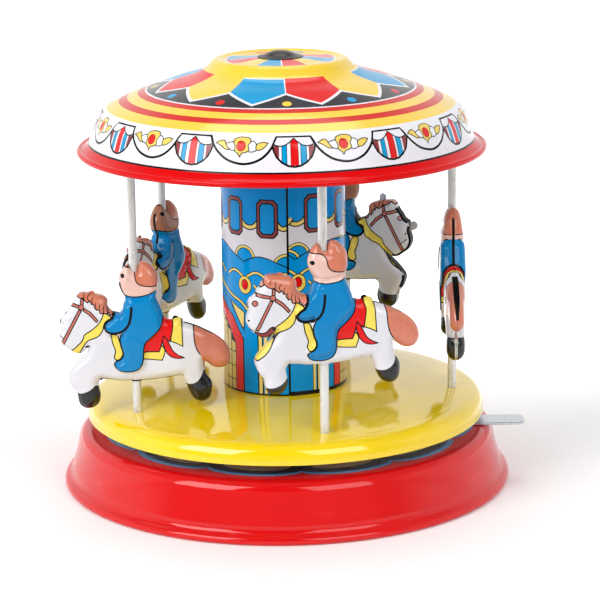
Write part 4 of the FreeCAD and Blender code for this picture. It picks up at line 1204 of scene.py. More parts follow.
CROWN = [(-18.79, 27.0), (-17.72, 26.82), (-17.93, 24.51), (-18.99, 24.6)]
CHIN = [(-25.0, 11.37), (-23.06, 10.88), (-21.63, 11.19), (-20.47, 12.17), (-19.57, 12.96), (-18.77, 13.23), (-17.88, 12.88),
        (-17.8, 12.17), (-18.44, 11.01), (-19.74, 10.03), (-21.74, 9.32), (-23.74, 9.59), (-24.75, 10.39)]
COLLAR = [(-10.41, 21.93), (-9.17, 21.53), (-7.94, 20.78), (-7.86, 19.89), (-8.97, 19.23), (-9.92, 18.34), (-10.46, 17.32),
          (-10.79, 15.54), (-12.73, 12.96), (-14.61, 12.08), (-16.17, 11.32), (-17.5, 9.7), (-18.6, 7.7), (-19.8, 5.5),
          (-21.5, 3.3), (-24.4, 0.9), (-26.4, 2.2), (-22.9, 6.2), (-20.19, 9.1), (-18.26, 11.32), (-17.61, 13.23),
          (-15.46, 14.87), (-13.22, 16.78), (-11.64, 18.87)]
STIRRUP = [(-7.79, 14.3), (-6.81, 14.56), (-5.88, 14.43), (-4.84, 12.34), (-4.49, 11.1), (-4.07, 9.55), (-3.51, 7.99),
           (-3.48, 6.88), (-3.93, 5.77), (-4.79, 4.97), (-5.81, 4.62), (-6.43, 5.15), (-6.55, 5.99), (-6.13, 7.77), (-6.56, 9.32),
           (-7.16, 10.88)]
BLANKET = [(10.41, 25.75), (14.46, 22.73), (14.88, 19.98), (14.47, 15.54), (13.91, 12.74), (12.72, 13.63), (11.75, 14.56),
           (11.15, 12.88), (10.51, 10.66), (9.86, 8.79), (7.11, 8.61), (3.11, 8.17), (3.59, 11.1), (4.75, 12.21), (6.73, 14.43),
           (8.98, 16.43)]
RIBBON = [(11.62, 14.74), (12.72, 13.54), (13.89, 11.32), (15.11, 9.32), (16.87, 7.99), (19.26, 7.1), (17.08, 6.7), (14.64, 7.02),
          (12.66, 8.66), (11.66, 10.88), (11.15, 12.65)]
SADDLE = [(14.28, 22.2), (15.28, 23.98), (16.17, 24.64), (17.5, 24.42), (18.16, 19.98), (18.38, 15.54), (18.6, 11.28),
          (16.25, 12.34), (14.09, 13.05), (14.47, 15.54), (14.87, 19.54)]
UNDER = [(3.11, 8.08), (7.11, 8.57), (9.86, 8.75), (10.91, 11.32), (12.0, 9.55), (11.07, 5.64), (7.96, 5.64), (3.08, 5.86)]
FRONT_HOOF = [(-23.9, -9.4), (-21.73, -9.15), (-18.4, -8.57), (-16.16, -7.55), (-13.48, -5.42), (-10.5, -6.6),
              (-10.5, -18.0), (-24.5, -18.0)]
REAR_HOOF = [(17.85, -3.02), (19.85, -3.11), (22.07, -2.75), (23.86, -1.78), (25.12, -0.22), (26.22, 2.22), (30.13, 2.66),
             (30.5, -14.0), (15.5, -14.0), (15.8, -3.4)]
TAIL = [(21.1, 24.4), (21.6, 21.8), (22.16, 19.98), (22.53, 17.76), (22.8, 14.21), (23.22, 11.99), (23.91, 10.12), (25.09, 8.44),
        (25.9, 6.0), (26.6, 3.0), (32.0, -1.0), (41.0, 1.0), (41.0, 20.0), (28.0, 27.0)]
TAIL_LINE = [(21.6, 21.8), (22.16, 19.98), (22.53, 17.76), (22.8, 14.21), (23.22, 11.99), (23.91, 10.12), (25.09, 8.44)]


def signed(poly, pts):
    """Distance to a closed outline, positive inside."""
    p = np.asarray(poly, float)
    q = np.roll(p, -1, 0)
    d = q - p
    l2 = np.maximum((d**2).sum(1), 1e-12)
    best = np.full(len(pts), 1e9)
    for a, e, l in zip(p, d, l2):
        v = pts - a
        t = np.clip((v @ e) / l, 0, 1)
        w = v - t[:, None] * e
        best = np.minimum(best, (w**2).sum(1))
    best = np.sqrt(best)
    return np.where(inside(p, pts), best, -best)


# how far each figure's print sits from the stamping (forward is negative, up is positive), its turn in
# degrees, whether the chin band still falls on the metal, how far the rear hoof's ink sits lower, and
# how much deeper the rim is along the nose
REGISTER = [(-0.9, 2.4, -1.6, False, 0.0, 0.9), (0.0, 0.0, 0.0, True, 0.0, 0.9), (-0.9, 1.7, -1.6, False, -2.4, 0.9),
            (1.5, 2.65, 0.0, False, 0.0, 1.25), (0.2, 2.9, 0.0, False, 0.0, 0.1)]
HEADINGS = [181.0, 191.0, 89.2, -20.0, 238.5]
BELLY = [46.3, 59.5, 59.6, 61.5, 53.2]


def level(pts):
    """Drawing tables were taken from a slightly turned figure: square them up."""
    p = np.array(pts, float)
    u, w = p[:, 0], p[:, 1]
    w = w - 0.0475 * u
    w = np.where(w > 20, w - 0.03 * (w - 20), w)
    return np.column_stack([0.98 * u + 0.55, w])


def figure_print(du, dw, turn, chin, hoof_drop):
    """The lithographed drawing, as shapes in drawing order."""
    mv = np.array([du - 0.65, dw + 0.85])
    ct, st = math.cos(turn * DEG), math.sin(turn * DEG)
    mid = np.array([0.0, 15.0])

    def at(pts):
        return (level(pts) - mid) @ np.array([[ct, st], [-st, ct]]) + mid + mv

    def sp(pts, step=0.6, closed=False, sharp=65.0):
        return smooth_path(at(pts), step, closed, sharp)

    hood, neck, side, arm_e = sp(HOOD_EDGE), sp(NECK), sp(SUIT_SIDE), sp(SUIT_ARM)
    # every field runs on past the edge of the metal
    suit = np.vstack([neck, at([(14.0, 33.2), (14.0, 26.4), (12.2, 25.6)]), side, arm_e])
    face = np.vstack([hood, at([(14.0, 33.6), (14.0, 32.6), (9.4, 31.9)]), neck[::-1], at([(-9.5, 30.6), (-11.0, 35.96), (-11.0, 38.4)])])
    hood_p = np.vstack([hood, at([(14.0, 33.6), (14.0, 50.0), (-11.0, 50.0), (-11.0, 38.2)])])
    S = []
    S.append((sp(TAIL, 0.8, True, 50.0), "salmon"))
    S.append((stroke(sp(TAIL_LINE, 0.7), 0.44), "black"))
    for q, z in (((24.6, 15.5), (28.6, 10.6)), ((26.4, 16.4), (31.0, 9.6)), ((24.2, 12.5), (27.2, 8.6))):
        S.append((stroke(sp([q, ((q[0] + z[0]) / 2 + 0.5, (q[1] + z[1]) / 2 + 0.3), z], 0.7), 0.15), "strap"))
    S.append((sp(FRONT_HOOF, 0.7, True, 50.0), "hoof"))
    S.append((sp(REAR_HOOF, 0.7, True, 50.0) + [0.0, hoof_drop], "hoof"))
    if not chin:
        # dark fold where the jaw meets the chest, and the dark lower edge of the belly
        S.append((oval(*level([(-18.25, 12.35)])[0], 0.85, 0.5, 14), "black"))
        S.append((stroke(smooth_path(level([(-14.0, 0.2), (-10.5, 0.1), (-6.5, -0.3), (-1.2, -0.1), (4.2, 0.3)]), 0.7), 0.6), "black"))
    S += outlined(sp(MANE, 0.6, True, 50.0), 0.38, "salmon")
    for l in MANE_LINES:
        S.append((stroke(sp(l, 0.5), 0.28), "black"))
    S += outlined(sp(COLLAR, 0.6, True, 50.0), 0.42, "figure_yellow")
    if chin:
        S += outlined(sp(CHIN, 0.5, True), 0.42, "brown_red")
        S.append((oval(*at([(-18.35, 12.55)])[0], 0.7, 0.55, 12), "black"))
    cheek = CHEEK if chin else CHEEK[:2] + [(-25.55, 8.3), (-26.55, 8.75)]
    for q in (THROAT, CROWN, BROW, cheek):
        S += outlined(sp(q, 0.9, True, 30.0), 0.38, "strap")
    knot, eye, nostril, bear_eye = at([(-18.65, 23.75), (-25.02, 21.67), (-27.2, 15.32), (-4.25, 36.32)])
    S.append((oval(*knot, 1.12, 1.12, 18), "black"))
    S.append((oval(*knot, 0.84, 0.84, 18), "strap"))
    S.append((oval(*eye, 1.12, 1.12, 18), "black"))
    S.append((oval(*eye, 0.78, 0.78, 16), "strap"))
    S.append((oval(*nostril, 0.36, 0.36, 10), "black"))
    S.append((stroke(sp([(-27.7, 13.2), (-26.37, 12.08), (-25.0, 11.45)], 0.5), 0.3), "black"))
    S += outlined(sp(UNDER, 0.8, True, 45.0), 0.4, "figure_yellow")
    S += outlined(sp(BLANKET, 0.7, True, 45.0), 0.4, "print_red")
    S += outlined(sp(RIBBON, 0.7, True, 50.0), 0.38, "print_red")
    S += outlined(sp(SADDLE, 0.7, True, 45.0), 0.4, "figure_yellow")
    S += outlined(sp(STIRRUP, 0.6, True, 60.0), 0.42, "figure_yellow")
    S.append((suit, "suit_blue"))
    S.append((stroke(side, 0.46), "black"))
    S.append((stroke(sp(ARM_LINE, 0.6), 0.95), "black"))
    S.append((face, "pink"))
    S.append((hood_p, "salmon"))
    S.append((stroke(hood, 0.42), "black"))
    S.append((stroke(neck, 0.42), "black"))
    S.append((oval(bear_eye[0] + (0.0 if chin else 0.7), bear_eye[1], 0.78, 0.78, 16), "black"))
    return S


def make_figures():
    line = smooth_path(level(OUTLINE), 0.75, True, 55.0)
    # shared points where the pole's channel meets the outline
    cuts = [-1.66, -1.45, -1.1, -0.6, 0.0, 0.6, 1.1, 1.45, 1.66]
    for c in cuts:
        line[np.abs(line[:, 0] - c) < 0.04, 0] = c
    pts = []
    n = len(line)
    for i in range(n):
        a, b = line[i], line[(i + 1) % n]
        pts.append(a)
        hits = []
        for c in cuts:
            if (a[0] - c) * (b[0] - c) < -1e-9:
                t = (c - a[0]) / (b[0] - a[0])
                hits.append((t, [c, a[1] + t * (b[1] - a[1])]))
        pts += [np.array(q) for _, q in sorted(hits, key=lambda z: z[0])]
    line = np.array(pts)
    line = line[np.linalg.norm(line - np.roll(line, 1, 0), axis=1) > 0.03]
    mv = np.array([-0.6 - 0.65, 1.5 + 0.85])

    def at(pts, step=0.6, closed=False, sharp=65.0):
        return smooth_path(level(pts) + mv, step, closed, sharp)

    hood, neck, side, arm_e = at(HOOD_EDGE), at(NECK), at(SUIT_SIDE), at(SUIT_ARM)
    suit = np.vstack([neck, level([(10.2, 26.64)]) + mv, side, arm_e])
    head = np.vstack([neck[::-1], level([(-7.5, 31.08), (-9.0, 35.96), (-9.0, 48.0), (11.0, 48.0), (11.0, 33.0)]) + mv])
    arm = ccw(at(ARM, 0.6, True))
    leg = ccw(at(LEG, 0.6, True))
    mane = ccw(at(MANE, 0.6, True, 50.0))
    blanket = ccw(at(BLANKET, 0.7, True, 45.0))
    saddle = ccw(at(SADDLE, 0.7, True, 45.0))

    nose = [0.9]

    def edge_h(p):
        """Depth of the upright edge of a half: deeper along the head, chest and rump than along the rider."""
        f = np.clip((-8.0 - p[:, 0]) / 5.0, 0, 1)
        r = np.clip((p[:, 0] - 16.0) / 2.0, 0, 1) * np.clip((p[:, 1] - 10.0) / 6.0, 0, 1)
        return 0.45 + nose[0] * f * f * (3 - 2 * f) + 0.6 * r

    def rise(d, r):
        return np.sqrt(np.clip(1 - (1 - np.clip(d, 0, r) / r) ** 2, 0, 1))

    def bell(p, c, a, b):
        return np.exp(-(((p[:, 0] - c[0]) / a) ** 2 + ((p[:, 1] - c[1]) / b) ** 2))

    def height(p):
        d = signed(line, p)
        dd = np.maximum(d, 0)
        top = 3.1 + 0.75 * bell(p, (17, 11), 9, 8) + 0.45 * bell(p, (-14, 7), 7, 8) - 0.35 * bell(p, (-23, 17), 5, 8)
        top = top - 0.5 * np.clip((p[:, 0] - 24.5) / 3.0, 0, 1) * np.clip((p[:, 1] - 3.0) / 2.0, 0, 1)
        top = top + 0.25 * bell(p, (-18, -7), 4, 4) + 0.25 * bell(p, (23, -3), 4, 4)
        crown = np.clip((p[:, 1] - 31.0) / 13.0, 0, 1) * (np.abs(p[:, 0] - 1.0) < 9.5)
        top = top - 1.15 * crown
        h = top * rise(d, 3.3)
        rider = np.minimum(np.maximum(signed(suit, p), signed(head, p)), dd)
        h = h + (1.15 + 0.75 * bell(p, (0, 20), 9, 9) - 0.6 * crown) * rise(rider, 1.9)
        h = h + 0.55 * rise(np.minimum(signed(arm, p), dd), 1.5)
        h = h + 0.3 * rise(np.minimum(signed(leg, p), dd), 1.5)
        h = h + 0.32 * rise(np.minimum(signed(mane, p), dd), 0.8)
        h = h + 0.14 * rise(np.minimum(signed(blanket, p), dd), 0.6)
        h = h + 0.14 * rise(np.minimum(signed(saddle, p), dd), 0.6)
        u = p[:, 0]
        sleeve = np.where(np.abs(u) < 2.05, np.sqrt(np.clip(2.05**2 - u**2, 0, None)), 0.0)
        h = np.where(h > 4.5, 4.5 + 0.7 * (1 - np.exp(-(h - 4.5) / 0.7)), h)
        return np.maximum(np.maximum(h, sleeve * (d > -1e-6)), edge_h(p) * (d > -1e-6))

    # loose points: a hexagonal filling and rows just inside the outline and the raised parts
    loose = []
    st = 1.15
    for j, w in enumerate(np.arange(-11, 45.5, st * 0.866)):
        for u in np.arange(-29, 35, st):
            loose.append((u + (j % 2) * st / 2, w))
    loose = np.array(loose)
    loose = loose[signed(line, loose) > 0.7]
    for poly, ds in ((line, (0.22, 0.6, 1.2)), (suit, (0.28, 0.8)), (head, (0.28, 0.8)), (arm, (0.3, 0.8)), (mane, (0.3,))):
        for dd in ds:
            q = offset(ccw(poly), -dd)
            ok = (signed(line, q) > 0.8 * min(dd, 0.3)) & (signed(poly, q) > 0.7 * dd)
            loose = np.vstack([loose, q[ok]])
    gap = 0.05
    bore = 1.66

    def lip_h(p):
        return np.maximum(edge_h(p), np.where(np.abs(p[:, 0]) < 2.05, np.sqrt(np.clip(2.05**2 - p[:, 0] ** 2, 0, None)), 0))

    def back_v(p):
        return gap + np.where(np.abs(p[:, 0]) < bore, np.sqrt(np.clip(bore**2 - p[:, 0] ** 2, 0, None)), 0.0)

    # stretches of the rim painted black: partly black edge paint, partly painted shade of the gap in the seam
    dark = [level(q) for q in ([(-7.5, 40.5), (-7.5, 28.0), (-2.5, 28.0), (-2.5, 40.5)], [(6.2, 42.0), (12.0, 42.0), (12.0, 23.9), (6.2, 23.9)],
                               [(-30, 27.0), (-30, 9.0), (-16.5, 9.0), (-16.5, 13.0), (-22.0, 27.0)],
                               [(-17.5, 11.0), (-27.5, 5.0), (-27.5, -6.0), (-22.5, -6.0), (-20.0, 6.0)],
                               [(-15.5, 1.5), (-15.5, -1.5), (16.8, -1.5), (16.8, 3.5)],
                               [(17.6, 24.0), (17.6, 20.5), (26.5, 16.0), (28.6, 19.6)])]

    # black bands along the rim where the sheet rolls over, on the figures that show them: partly black edge paint,
    # partly painted shade of the seam's lip and gap; path and width
    belly = [(-14.0, 0.2), (-10.5, 0.1), (-6.5, -0.3), (-1.2, -0.1), (4.2, 0.3), (10.8, 1.4), (16.3, 2.4)]
    rolled_edge_black_and_shade = {0: [([(-6.15, 37.0), (-5.9, 35.2), (-5.1, 33.2), (-4.3, 31.9)], 1.7), (belly, 1.0)],
                   3: [([(-22.6, 29.6), (-23.4, 28.2), (-24.6, 26.6), (-25.4, 25.1), (-27.2, 23.7)], 1.6),
                       ([(-27.8, 21.8), (-27.5, 20.0), (-28.1, 17.8), (-28.4, 16.0), (-27.8, 13.9), (-26.9, 12.4), (-25.0, 11.1),
                         (-22.8, 9.8), (-20.6, 9.8)], 1.7),
                       ([(-18.3, 10.6), (-21.9, 6.7), (-24.6, 3.6)], 0.9),
                       ([(-25.5, 2.2), (-25.7, 1.2), (-25.2, -1.0), (-24.3, -3.0)], 2.0), (belly[:5], 1.3)]}
    # black strip on the third figure's tail: painted shade of the gap where the halves open, over black edge paint
    long_tail = level([(17.6, 24.0), (17.6, 20.5), (26.5, 16.0), (31.0, 11.0), (36.0, 11.0), (34.0, 17.0), (28.6, 19.6)])

    def figure_mesh(shapes, which):
        if which > 2:
            # the two rear riders get a browner face: partly their ink, partly painted shade of the shadow they sit in
            # under the roof
            shapes = [(q, "face_brown" if n_ == "pink" else n_) for q, n_ in shapes]
        # the lip bands are painted black, partly as painted shade of the seam
        shapes = shapes + [(stroke(smooth_path(level(q), 0.6), w_), "rim_black") for q, w_ in rolled_edge_black_and_shade.get(which, ())]
        V, T = cdt([line] + [q for q, _ in shapes], (), loose, 2e-3)
        T = T[inside(line, V[T].mean(1))]
        lab = paint(V, T, shapes, "horse_white")
        H = height(V)
        onl = np.abs(signed(line, V)) < 3e-3
        H[onl] = lip_h(V[onl])
        e = 0.14
        gx = (height(V + [e, 0]) - height(V - [e, 0])) / (2 * e)
        gy = (height(V + [0, e]) - height(V - [0, e])) / (2 * e)
        Nf = np.column_stack([-gx, -np.ones(len(V)), -gy])
        front = np.column_stack([V[:, 0], -(gap + H), V[:, 1]])
        m = Mesh()
        m.add(front[T], Nf[T], lab)
        # rim of the printed side, as it came out of the triangulation
        edges = {}
        for (a, b, c), name in zip(T, lab):
            for x, y in ((a, b), (b, c), (c, a)):
                if (y, x) in edges:
                    del edges[(y, x)]
                else:
                    edges[(x, y)] = name
        nxt = {x: (y, name) for (x, y), name in edges.items()}
        start = next(iter(nxt))
        loop, names = [start], []
        while True:
            y, name = nxt[loop[-1]]
            names.append(name)
            if y == start:
                break
            loop.append(y)
        L2 = V[loop]
        Vb, Tb = cdt([L2], [[(c, -14.0), (c, 48.0)] for c in cuts], (), 2e-4)
        Tb = Tb[inside(L2, Vb[Tb].mean(1))]
        for i in range(len(Vb)):
            dd = np.abs(L2 - Vb[i]).max(1)
            j = int(dd.argmin())
            if dd[j] < 1e-3:
                Vb[i] = L2[j]
        back = np.column_stack([Vb[:, 0], -back_v(Vb), Vb[:, 1]])
        ub = np.clip(Vb[:, 0] / bore, -1, 1)
        nb = np.column_stack([np.where(np.abs(ub) < 1, -ub, 0), np.where(np.abs(ub) < 1, np.sqrt(1 - ub**2), 1.0), np.zeros(len(Vb))])
        m.add(back[Tb[:, ::-1]], nb[Tb[:, ::-1]], ["tin"] * len(Tb))
        fr = np.column_stack([L2[:, 0], -(gap + lip_h(L2)), L2[:, 1]])
        bk = np.column_stack([L2[:, 0], -back_v(L2), L2[:, 1]])
        q = np.stack([fr, bk, np.roll(bk, -1, 0), np.roll(fr, -1, 0)], 1)
        d = np.roll(L2, -1, 0) - L2
        nn = np.column_stack([d[:, 1], np.zeros(len(d)), -d[:, 0]])
        mids = (L2 + np.roll(L2, -1, 0)) / 2
        black_and_shade_rim = np.zeros(len(mids), bool)
        for j, poly in enumerate(dark):
            # the front figures keep a clean nose and chest
            if j not in (2, 3) or nose[0] != 0.9:
                black_and_shade_rim |= inside(poly, mids)
        if which == 2:
            black_and_shade_rim |= inside(long_tail, mids)
        bare = inside(level([(24.6, -9.0), (30.0, -9.0), (30.0, 2.6), (24.6, 4.0)]), mids)
        m.add(q, np.repeat(nn[:, None, :], 4, 1), ["tin" if e_ else "rim_black" if k else n_ for k, e_, n_ in zip(black_and_shade_rim, bare, names)])
        return m

    # tongues that hold the halves together: they stand out of the seam on one half
    def add_tabs(m, loose_ones):
        far = 1.0 if loose_ones else 0.0
        for (u, w), ang, reach, half, name in (((-16.2, 32.3), 95.0, 0.9 + 1.9 * far, 1.15 + 0.15 * far, "pole" if loose_ones else "salmon"),
                                               ((-27.4, 21.4), 160.0, 0.9 + 2.6 * far, 1.15 + 0.5 * far, "pole" if loose_ones else "edge"),
                                               ((14.4, 23.7), 85.0, 0.8, 1.2, "black"), ((-13.9, 0.1), -60.0, 0.7, 1.1, "black")):
            u, w = level([(u, w)])[0]
            ca, sa = math.cos(ang * DEG), math.sin(ang * DEG)
            prof = [(-0.8, -half)] + [(reach - half * 0.9 + half * 0.9 * math.cos(t * DEG), half * math.sin(t * DEG))
                                      for t in range(-90, 91, 20)] + [(-0.8, half)]
            pl = np.array([(u + ca * a - sa * b, w + sa * a + ca * b) for a, b in prof])
            v0, v1 = 0.06, 0.44
            f = np.column_stack([pl[:, 0], np.full(len(pl), -v1), pl[:, 1]])
            bk = np.column_stack([pl[:, 0], np.full(len(pl), -v0), pl[:, 1]])
            cf, cb = f.mean(0), bk.mean(0)
            k = len(f)
            m.add(np.array([[cf, f[i], f[(i + 1) % k]] for i in range(k)]), np.tile([0.0, -1.0, 0.0], (k, 3, 1)), [name] * k)
            m.add(np.array([[cb, bk[(i + 1) % k], bk[i]] for i in range(k)]), np.tile([0.0, 1.0, 0.0], (k, 3, 1)), [name] * k)
            wq = np.stack([f, bk, np.roll(bk, -1, 0), np.roll(f, -1, 0)], 1)
            dd = np.roll(pl, -1, 0) - pl
            wn_ = np.column_stack([dd[:, 1], np.zeros(k), -dd[:, 0]])
            m.add(wq, np.repeat(wn_[:, None, :], 4, 1), [name] * k)

    made = {}
    for i, (x, y) in enumerate(POLES):
        if REGISTER[i] not in made:
            nose[0] = REGISTER[i][5]
            made[REGISTER[i]] = figure_mesh(figure_print(*REGISTER[i][:5]), i)
        base = made[REGISTER[i]]
        a = (HEADINGS[i] - 180.0) * DEG
        R = np.array([[math.cos(a), -math.sin(a), 0], [math.sin(a), math.cos(a), 0], [0, 0, 1.0]])
        for name, mir in (("left", 1.0), ("right", -1.0)):
            m = Mesh()
            m.parts = list(base.parts)
            if name == "right":
                add_tabs(m, i == 3)
            A = np.eye(4)
            A[:3, :3] = R @ np.diag([1.0, mir, 1.0])
            A[:3, 3] = (x, y, BELLY[i])
            m.build("horse_%d_%s_half" % (i + 1, name), "horse_%d" % (i + 1), ["horse_%d_%s_shell" % (i + 1, name)],
                    A, mir < 0)


# ---------------------------------------------------------------------------
# stop lever: blanked plate with broken edges and a turned-down tab
# ---------------------------------------------------------------------------
def slab(mesh, plan, z0, z1, bev, label, hole=None):
    p = ccw(plan)
    inn = offset(p, -bev)
    n = len(p)
    for zf, zc, up in ((z1, z1 - bev, 1), (z0, z0 + bev, -1)):
        loops = [inn] + ([hole] if hole is not None else [])
        V, T = cdt(loops)
        mid = V[T].mean(1)
        keep = inside(inn, mid)
        if hole is not None:
            keep &= ~inside(hole, mid)
        T = T[keep]
        P = np.column_stack([V, np.full(len(V), zf)])
        T = T if up > 0 else T[:, ::-1]
        mesh.add(P[T], np.tile([0.0, 0.0, float(up)], (len(T), 3, 1)), [label] * len(T))
        a = np.column_stack([inn, np.full(n, zf)])
        b = np.column_stack([p, np.full(n, zc)])
        q = np.stack([a, b, np.roll(b, -1, 0), np.roll(a, -1, 0)], 1)
        d = np.roll(p, -1, 0) - p
        d /= np.linalg.norm(d, axis=1)[:, None]
        nn = np.column_stack([d[:, 1], -d[:, 0], np.full(n, float(up))])
        if up < 0:
            q = q[:, ::-1]
        mesh.add(q, np.repeat(nn[:, None, :], 4, 1), [label] * n)
    a = np.column_stack([p, np.full(n, z1 - bev)])
    b = np.column_stack([p, np.full(n, z0 + bev)])
    q = np.stack([a, b, np.roll(b, -1, 0), np.roll(a, -1, 0)], 1)
    d = np.roll(p, -1, 0) - p
    nn = np.column_stack([d[:, 1], -d[:, 0], np.zeros(n)])
    mesh.add(q, np.repeat(nn[:, None, :], 4, 1), [label] * n)
    if hole is not None:
        h = ccw(hole)
        a = np.column_stack([h, np.full(len(h), z1)])
        b = np.column_stack([h, np.full(len(h), z0)])
        q = np.stack([a, np.roll(a, -1, 0), np.roll(b, -1, 0), b], 1)[:, ::-1]
        q = np.stack([a, np.roll(a, -1, 0), np.roll(b, -1, 0), b], 1)
        c = h.mean(0)
        nn = np.column_stack([c - h, np.zeros(len(h))])
        nq = np.stack([nn, np.roll(nn, -1, 0), np.roll(nn, -1, 0), nn], 1)
        mesh.add(q, nq, [label] * len(h))


def make_lever():
    m = Mesh()
    lo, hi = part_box("stop_lever")
    brake = -15.5 + 0.0
    tip = [(86.4 + 3 * math.cos(t * DEG), -10.4 + 3 * math.sin(t * DEG)) for t in np.linspace(-90, 0, 9)]
    tip += [(86.4 + 3 * math.cos(t * DEG), -5.6 + 3 * math.sin(t * DEG)) for t in np.linspace(0, 90, 9)]
    train = 0.75 * 60 / 2.0 + 0.05
    fy = train * math.sin(-20.5 * DEG)
    brake = fy - 4.05
    plan = tip + [(60.0, -2.6), (57.0, -3.8), (52.0, -10.5), (43.4, brake), (43.4, -15.5), (52.0, -15.5), (60.0, -13.4)]
    slab(m, plan, 21.2, 22.1, 0.2, "lever", oval(62.0, -8.0, 1.56, 1.56, 28))
    slab(m, [(43.42, brake - 0.88), (46.58, brake - 0.88), (46.58, brake - 0.02), (43.42, brake - 0.02)], 19.5, 21.5, 0.12, "lever")
    m.build("stop_lever_plate", "lever", ["stop_lever"])


make_roof()
make_cap()
make_base()
make_platform()
make_column()
make_poles()
make_figures()
make_lever()

# ---------------------------------------------------------------------------
# the remaining pieces keep their own shape and get a finish
# ---------------------------------------------------------------------------
FINISH = {
    "tin": ["bottom_plate", "ceiling_plate", "base_pillars"],
    "steel": ["bottom_screws", "deck_bush", "lever_rivet", "spindle", "platform_hub", "winding_key", "winding_arbor",
              "movement_screws", "pillar_screws", "comb_screws", "brake_disc"],
    "movement": ["movement_bedplate", "movement_top_plate", "movement_pillars", "comb_bracket", "drum_arbor", "idler_arbor",
                 "governor_arbor"],
    "spring": ["clutch_spring", "mainspring", "tone_comb"],
    "brass": ["spring_barrel", "barrel_cover", "pin_drum", "drum_pinion", "drum_wheel", "idler_pinion", "idler_wheel",
              "governor_pinion", "governor_fan"],
}
for key, names in FINISH.items():
    for nm in names:
        me = NODES[nm].data
        me.materials.clear()
        me.materials.append(MAT[key])

# ---------------------------------------------------------------------------
# floor, light, camera
# ---------------------------------------------------------------------------
fm, N, L, b = new_material("studio_floor")
v = N.new("ShaderNodeTexCoord").outputs["Object"]
fs = N.new("ShaderNodeSeparateXYZ")
L.new(v, fs.inputs[0])
# the paper is pale; towards the dim room in front its colour is painted dark, as painted shade
near = N.new("ShaderNodeMapRange")
near.interpolation_type = "SMOOTHSTEP"
for key_, val_ in (("From Min", -0.40), ("From Max", -0.14), ("To Min", 0.38), ("To Max", 1.0)):
    near.inputs[key_].default_value = val_
L.new(fs.outputs["Y"], near.inputs["Value"])
paper = ramp(N, L, noise(N, L, v, 6.0, 3.0), [(0.3, (0.90, 0.90, 0.905)), (0.7, (0.93, 0.93, 0.93))])
L.new(mix(N, L, near.outputs["Result"], (0.05, 0.05, 0.052), paper), b.inputs["Base Color"])
b.inputs["Roughness"].default_value = 0.7
b.inputs["Specular IOR Level"].default_value = 0.2
b.inputs["Emission Color"].default_value = (1.0, 1.0, 1.0, 1.0)
# the floor glows as painted light: faint near the toy, strong on the sweep behind it
far = N.new("ShaderNodeMapRange")
far.interpolation_type = "SMOOTHSTEP"
for key_, val_ in (("From Min", 0.03), ("From Max", 0.26), ("To Min", 0.08), ("To Max", 0.85)):
    far.inputs[key_].default_value = val_
L.new(fs.outputs["Y"], far.inputs["Value"])
glow = N.new("ShaderNodeMath")
glow.operation = "MULTIPLY"
L.new(far.outputs["Result"], glow.inputs[1])
L.new(near.outputs["Result"], glow.inputs[0])
L.new(glow.outputs[0], b.inputs["Emission Strength"])
me = bpy.data.meshes.new("studio_floor")
me.from_pydata([(-6, -6, 0), (6, -6, 0), (6, 6, 0), (-6, 6, 0)], [], [(0, 1, 2, 3)])
me.materials.append(fm)
floor = bpy.data.objects.new("studio_floor", me)
floor.location.z = -0.0002
bpy.context.scene.collection.objects.link(floor)

world = bpy.data.worlds.new("studio") if bpy.context.scene.world is None else bpy.context.scene.world
bpy.context.scene.world = world
world.use_nodes = True
wn, wl = world.node_tree.nodes, world.node_tree.links
bg = wn["Background"]
# white paper walls low down behind and beside the toy, a dim ceiling and a dim room in front of it
wc = wn.new("ShaderNodeTexCoord")
sep = wn.new("ShaderNodeSeparateXYZ")
wl.new(wc.outputs["Generated"], sep.inputs[0])


def fade(sock, a, b_, lo, hi):
    n_ = wn.new("ShaderNodeMapRange")
    n_.interpolation_type = "SMOOTHSTEP"
    for key_, val_ in (("From Min", a), ("From Max", b_), ("To Min", lo), ("To Max", hi)):
        n_.inputs[key_].default_value = val_
    wl.new(sock, n_.inputs["Value"])
    return n_.outputs["Result"]


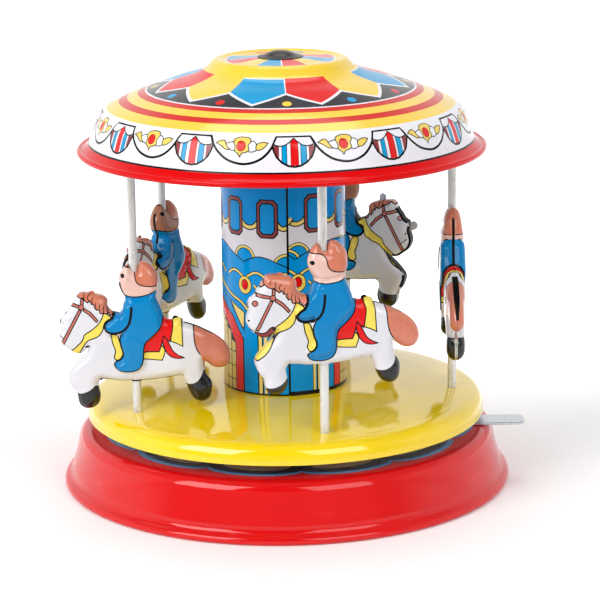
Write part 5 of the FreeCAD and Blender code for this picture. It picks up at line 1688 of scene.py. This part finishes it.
walls = wn.new("ShaderNodeMath")
walls.operation = "MULTIPLY"
wl.new(fade(sep.outputs["Y"], -0.72, -0.05, 0.0, 1.0), walls.inputs[0])
wl.new(fade(sep.outputs["Z"], 0.45, 0.80, 1.0, 0.25), walls.inputs[1])
level = wn.new("ShaderNodeMath")
level.operation = "MULTIPLY_ADD"
wl.new(walls.outputs[0], level.inputs[0])
level.inputs[1].default_value = 0.95
front = wn.new("ShaderNodeMath")
front.operation = "MULTIPLY"
wl.new(fade(sep.outputs["Y"], -0.80, -0.40, 0.32, 0.0), front.inputs[0])
wl.new(fade(sep.outputs["Z"], 0.26, 0.40, 1.0, 0.0), front.inputs[1])
fill = wn.new("ShaderNodeMath")
fill.operation = "ADD"
wl.new(front.outputs[0], fill.inputs[0])
fill.inputs[1].default_value = 0.05
wl.new(fill.outputs[0], level.inputs[2])
bg.inputs["Color"].default_value = (1.0, 1.0, 1.0, 1.0)
wl.new(level.outputs[0], bg.inputs["Strength"])


def softbox(name, loc, aim, size, power, size_y=None):
    d = bpy.data.lights.new(name, "AREA")
    d.shape = "RECTANGLE"
    d.size, d.size_y = size, size_y or size
    d.energy = power
    o = bpy.data.objects.new(name, d)
    o.location = loc
    o.rotation_mode = "QUATERNION"
    o.rotation_quaternion = (Vector(aim) - Vector(loc)).to_track_quat("-Z", "Y")
    bpy.context.scene.collection.objects.link(o)
    return o


def polar(az_, el_, d_):
    return (d_ * math.cos(el_ * DEG) * math.cos(az_ * DEG), d_ * math.cos(el_ * DEG) * math.sin(az_ * DEG), 0.08 + d_ * math.sin(el_ * DEG))


softbox("key_left", polar(-136, 33, 1.05), (0, 0, 0.08), 0.60, 7.6, 0.74)
softbox("key_right", polar(-60, 33, 1.05), (0, 0, 0.08), 0.60, 4.3, 0.74)
softbox("top", (0.0, 0.35, 1.1), (0, 0, 0.0), 0.6, 2.8)

cam_d = bpy.data.cameras.new("photo_camera")
cam = bpy.data.objects.new("photo_camera", cam_d)
bpy.context.scene.collection.objects.link(cam)
cam_d.sensor_width = 36.0
cam_d.lens = 144.25
cam_d.clip_start, cam_d.clip_end = 0.01, 50.0
el, pan, roll = 13.948 * DEG, 0.387 * DEG, -0.829 * DEG
F = Vector((math.sin(pan) * math.cos(el), math.cos(pan) * math.cos(el), -math.sin(el)))
rt = Vector((math.cos(pan), -math.sin(pan), 0.0))
up = rt.cross(F)
Rv = rt * math.cos(roll) + up * math.sin(roll)
Uv = up * math.cos(roll) - rt * math.sin(roll)
cam.matrix_world = Matrix(((Rv.x, Uv.x, -F.x, 0.0), (Rv.y, Uv.y, -F.y, -0.8735), (Rv.z, Uv.z, -F.z, 0.28415), (0, 0, 0, 1)))
bpy.context.scene.camera = cam
bpy.context.scene.view_settings.view_transform = "Standard"
bpy.context.scene.view_settings.look = "None"

bpy.context.view_layer.update()
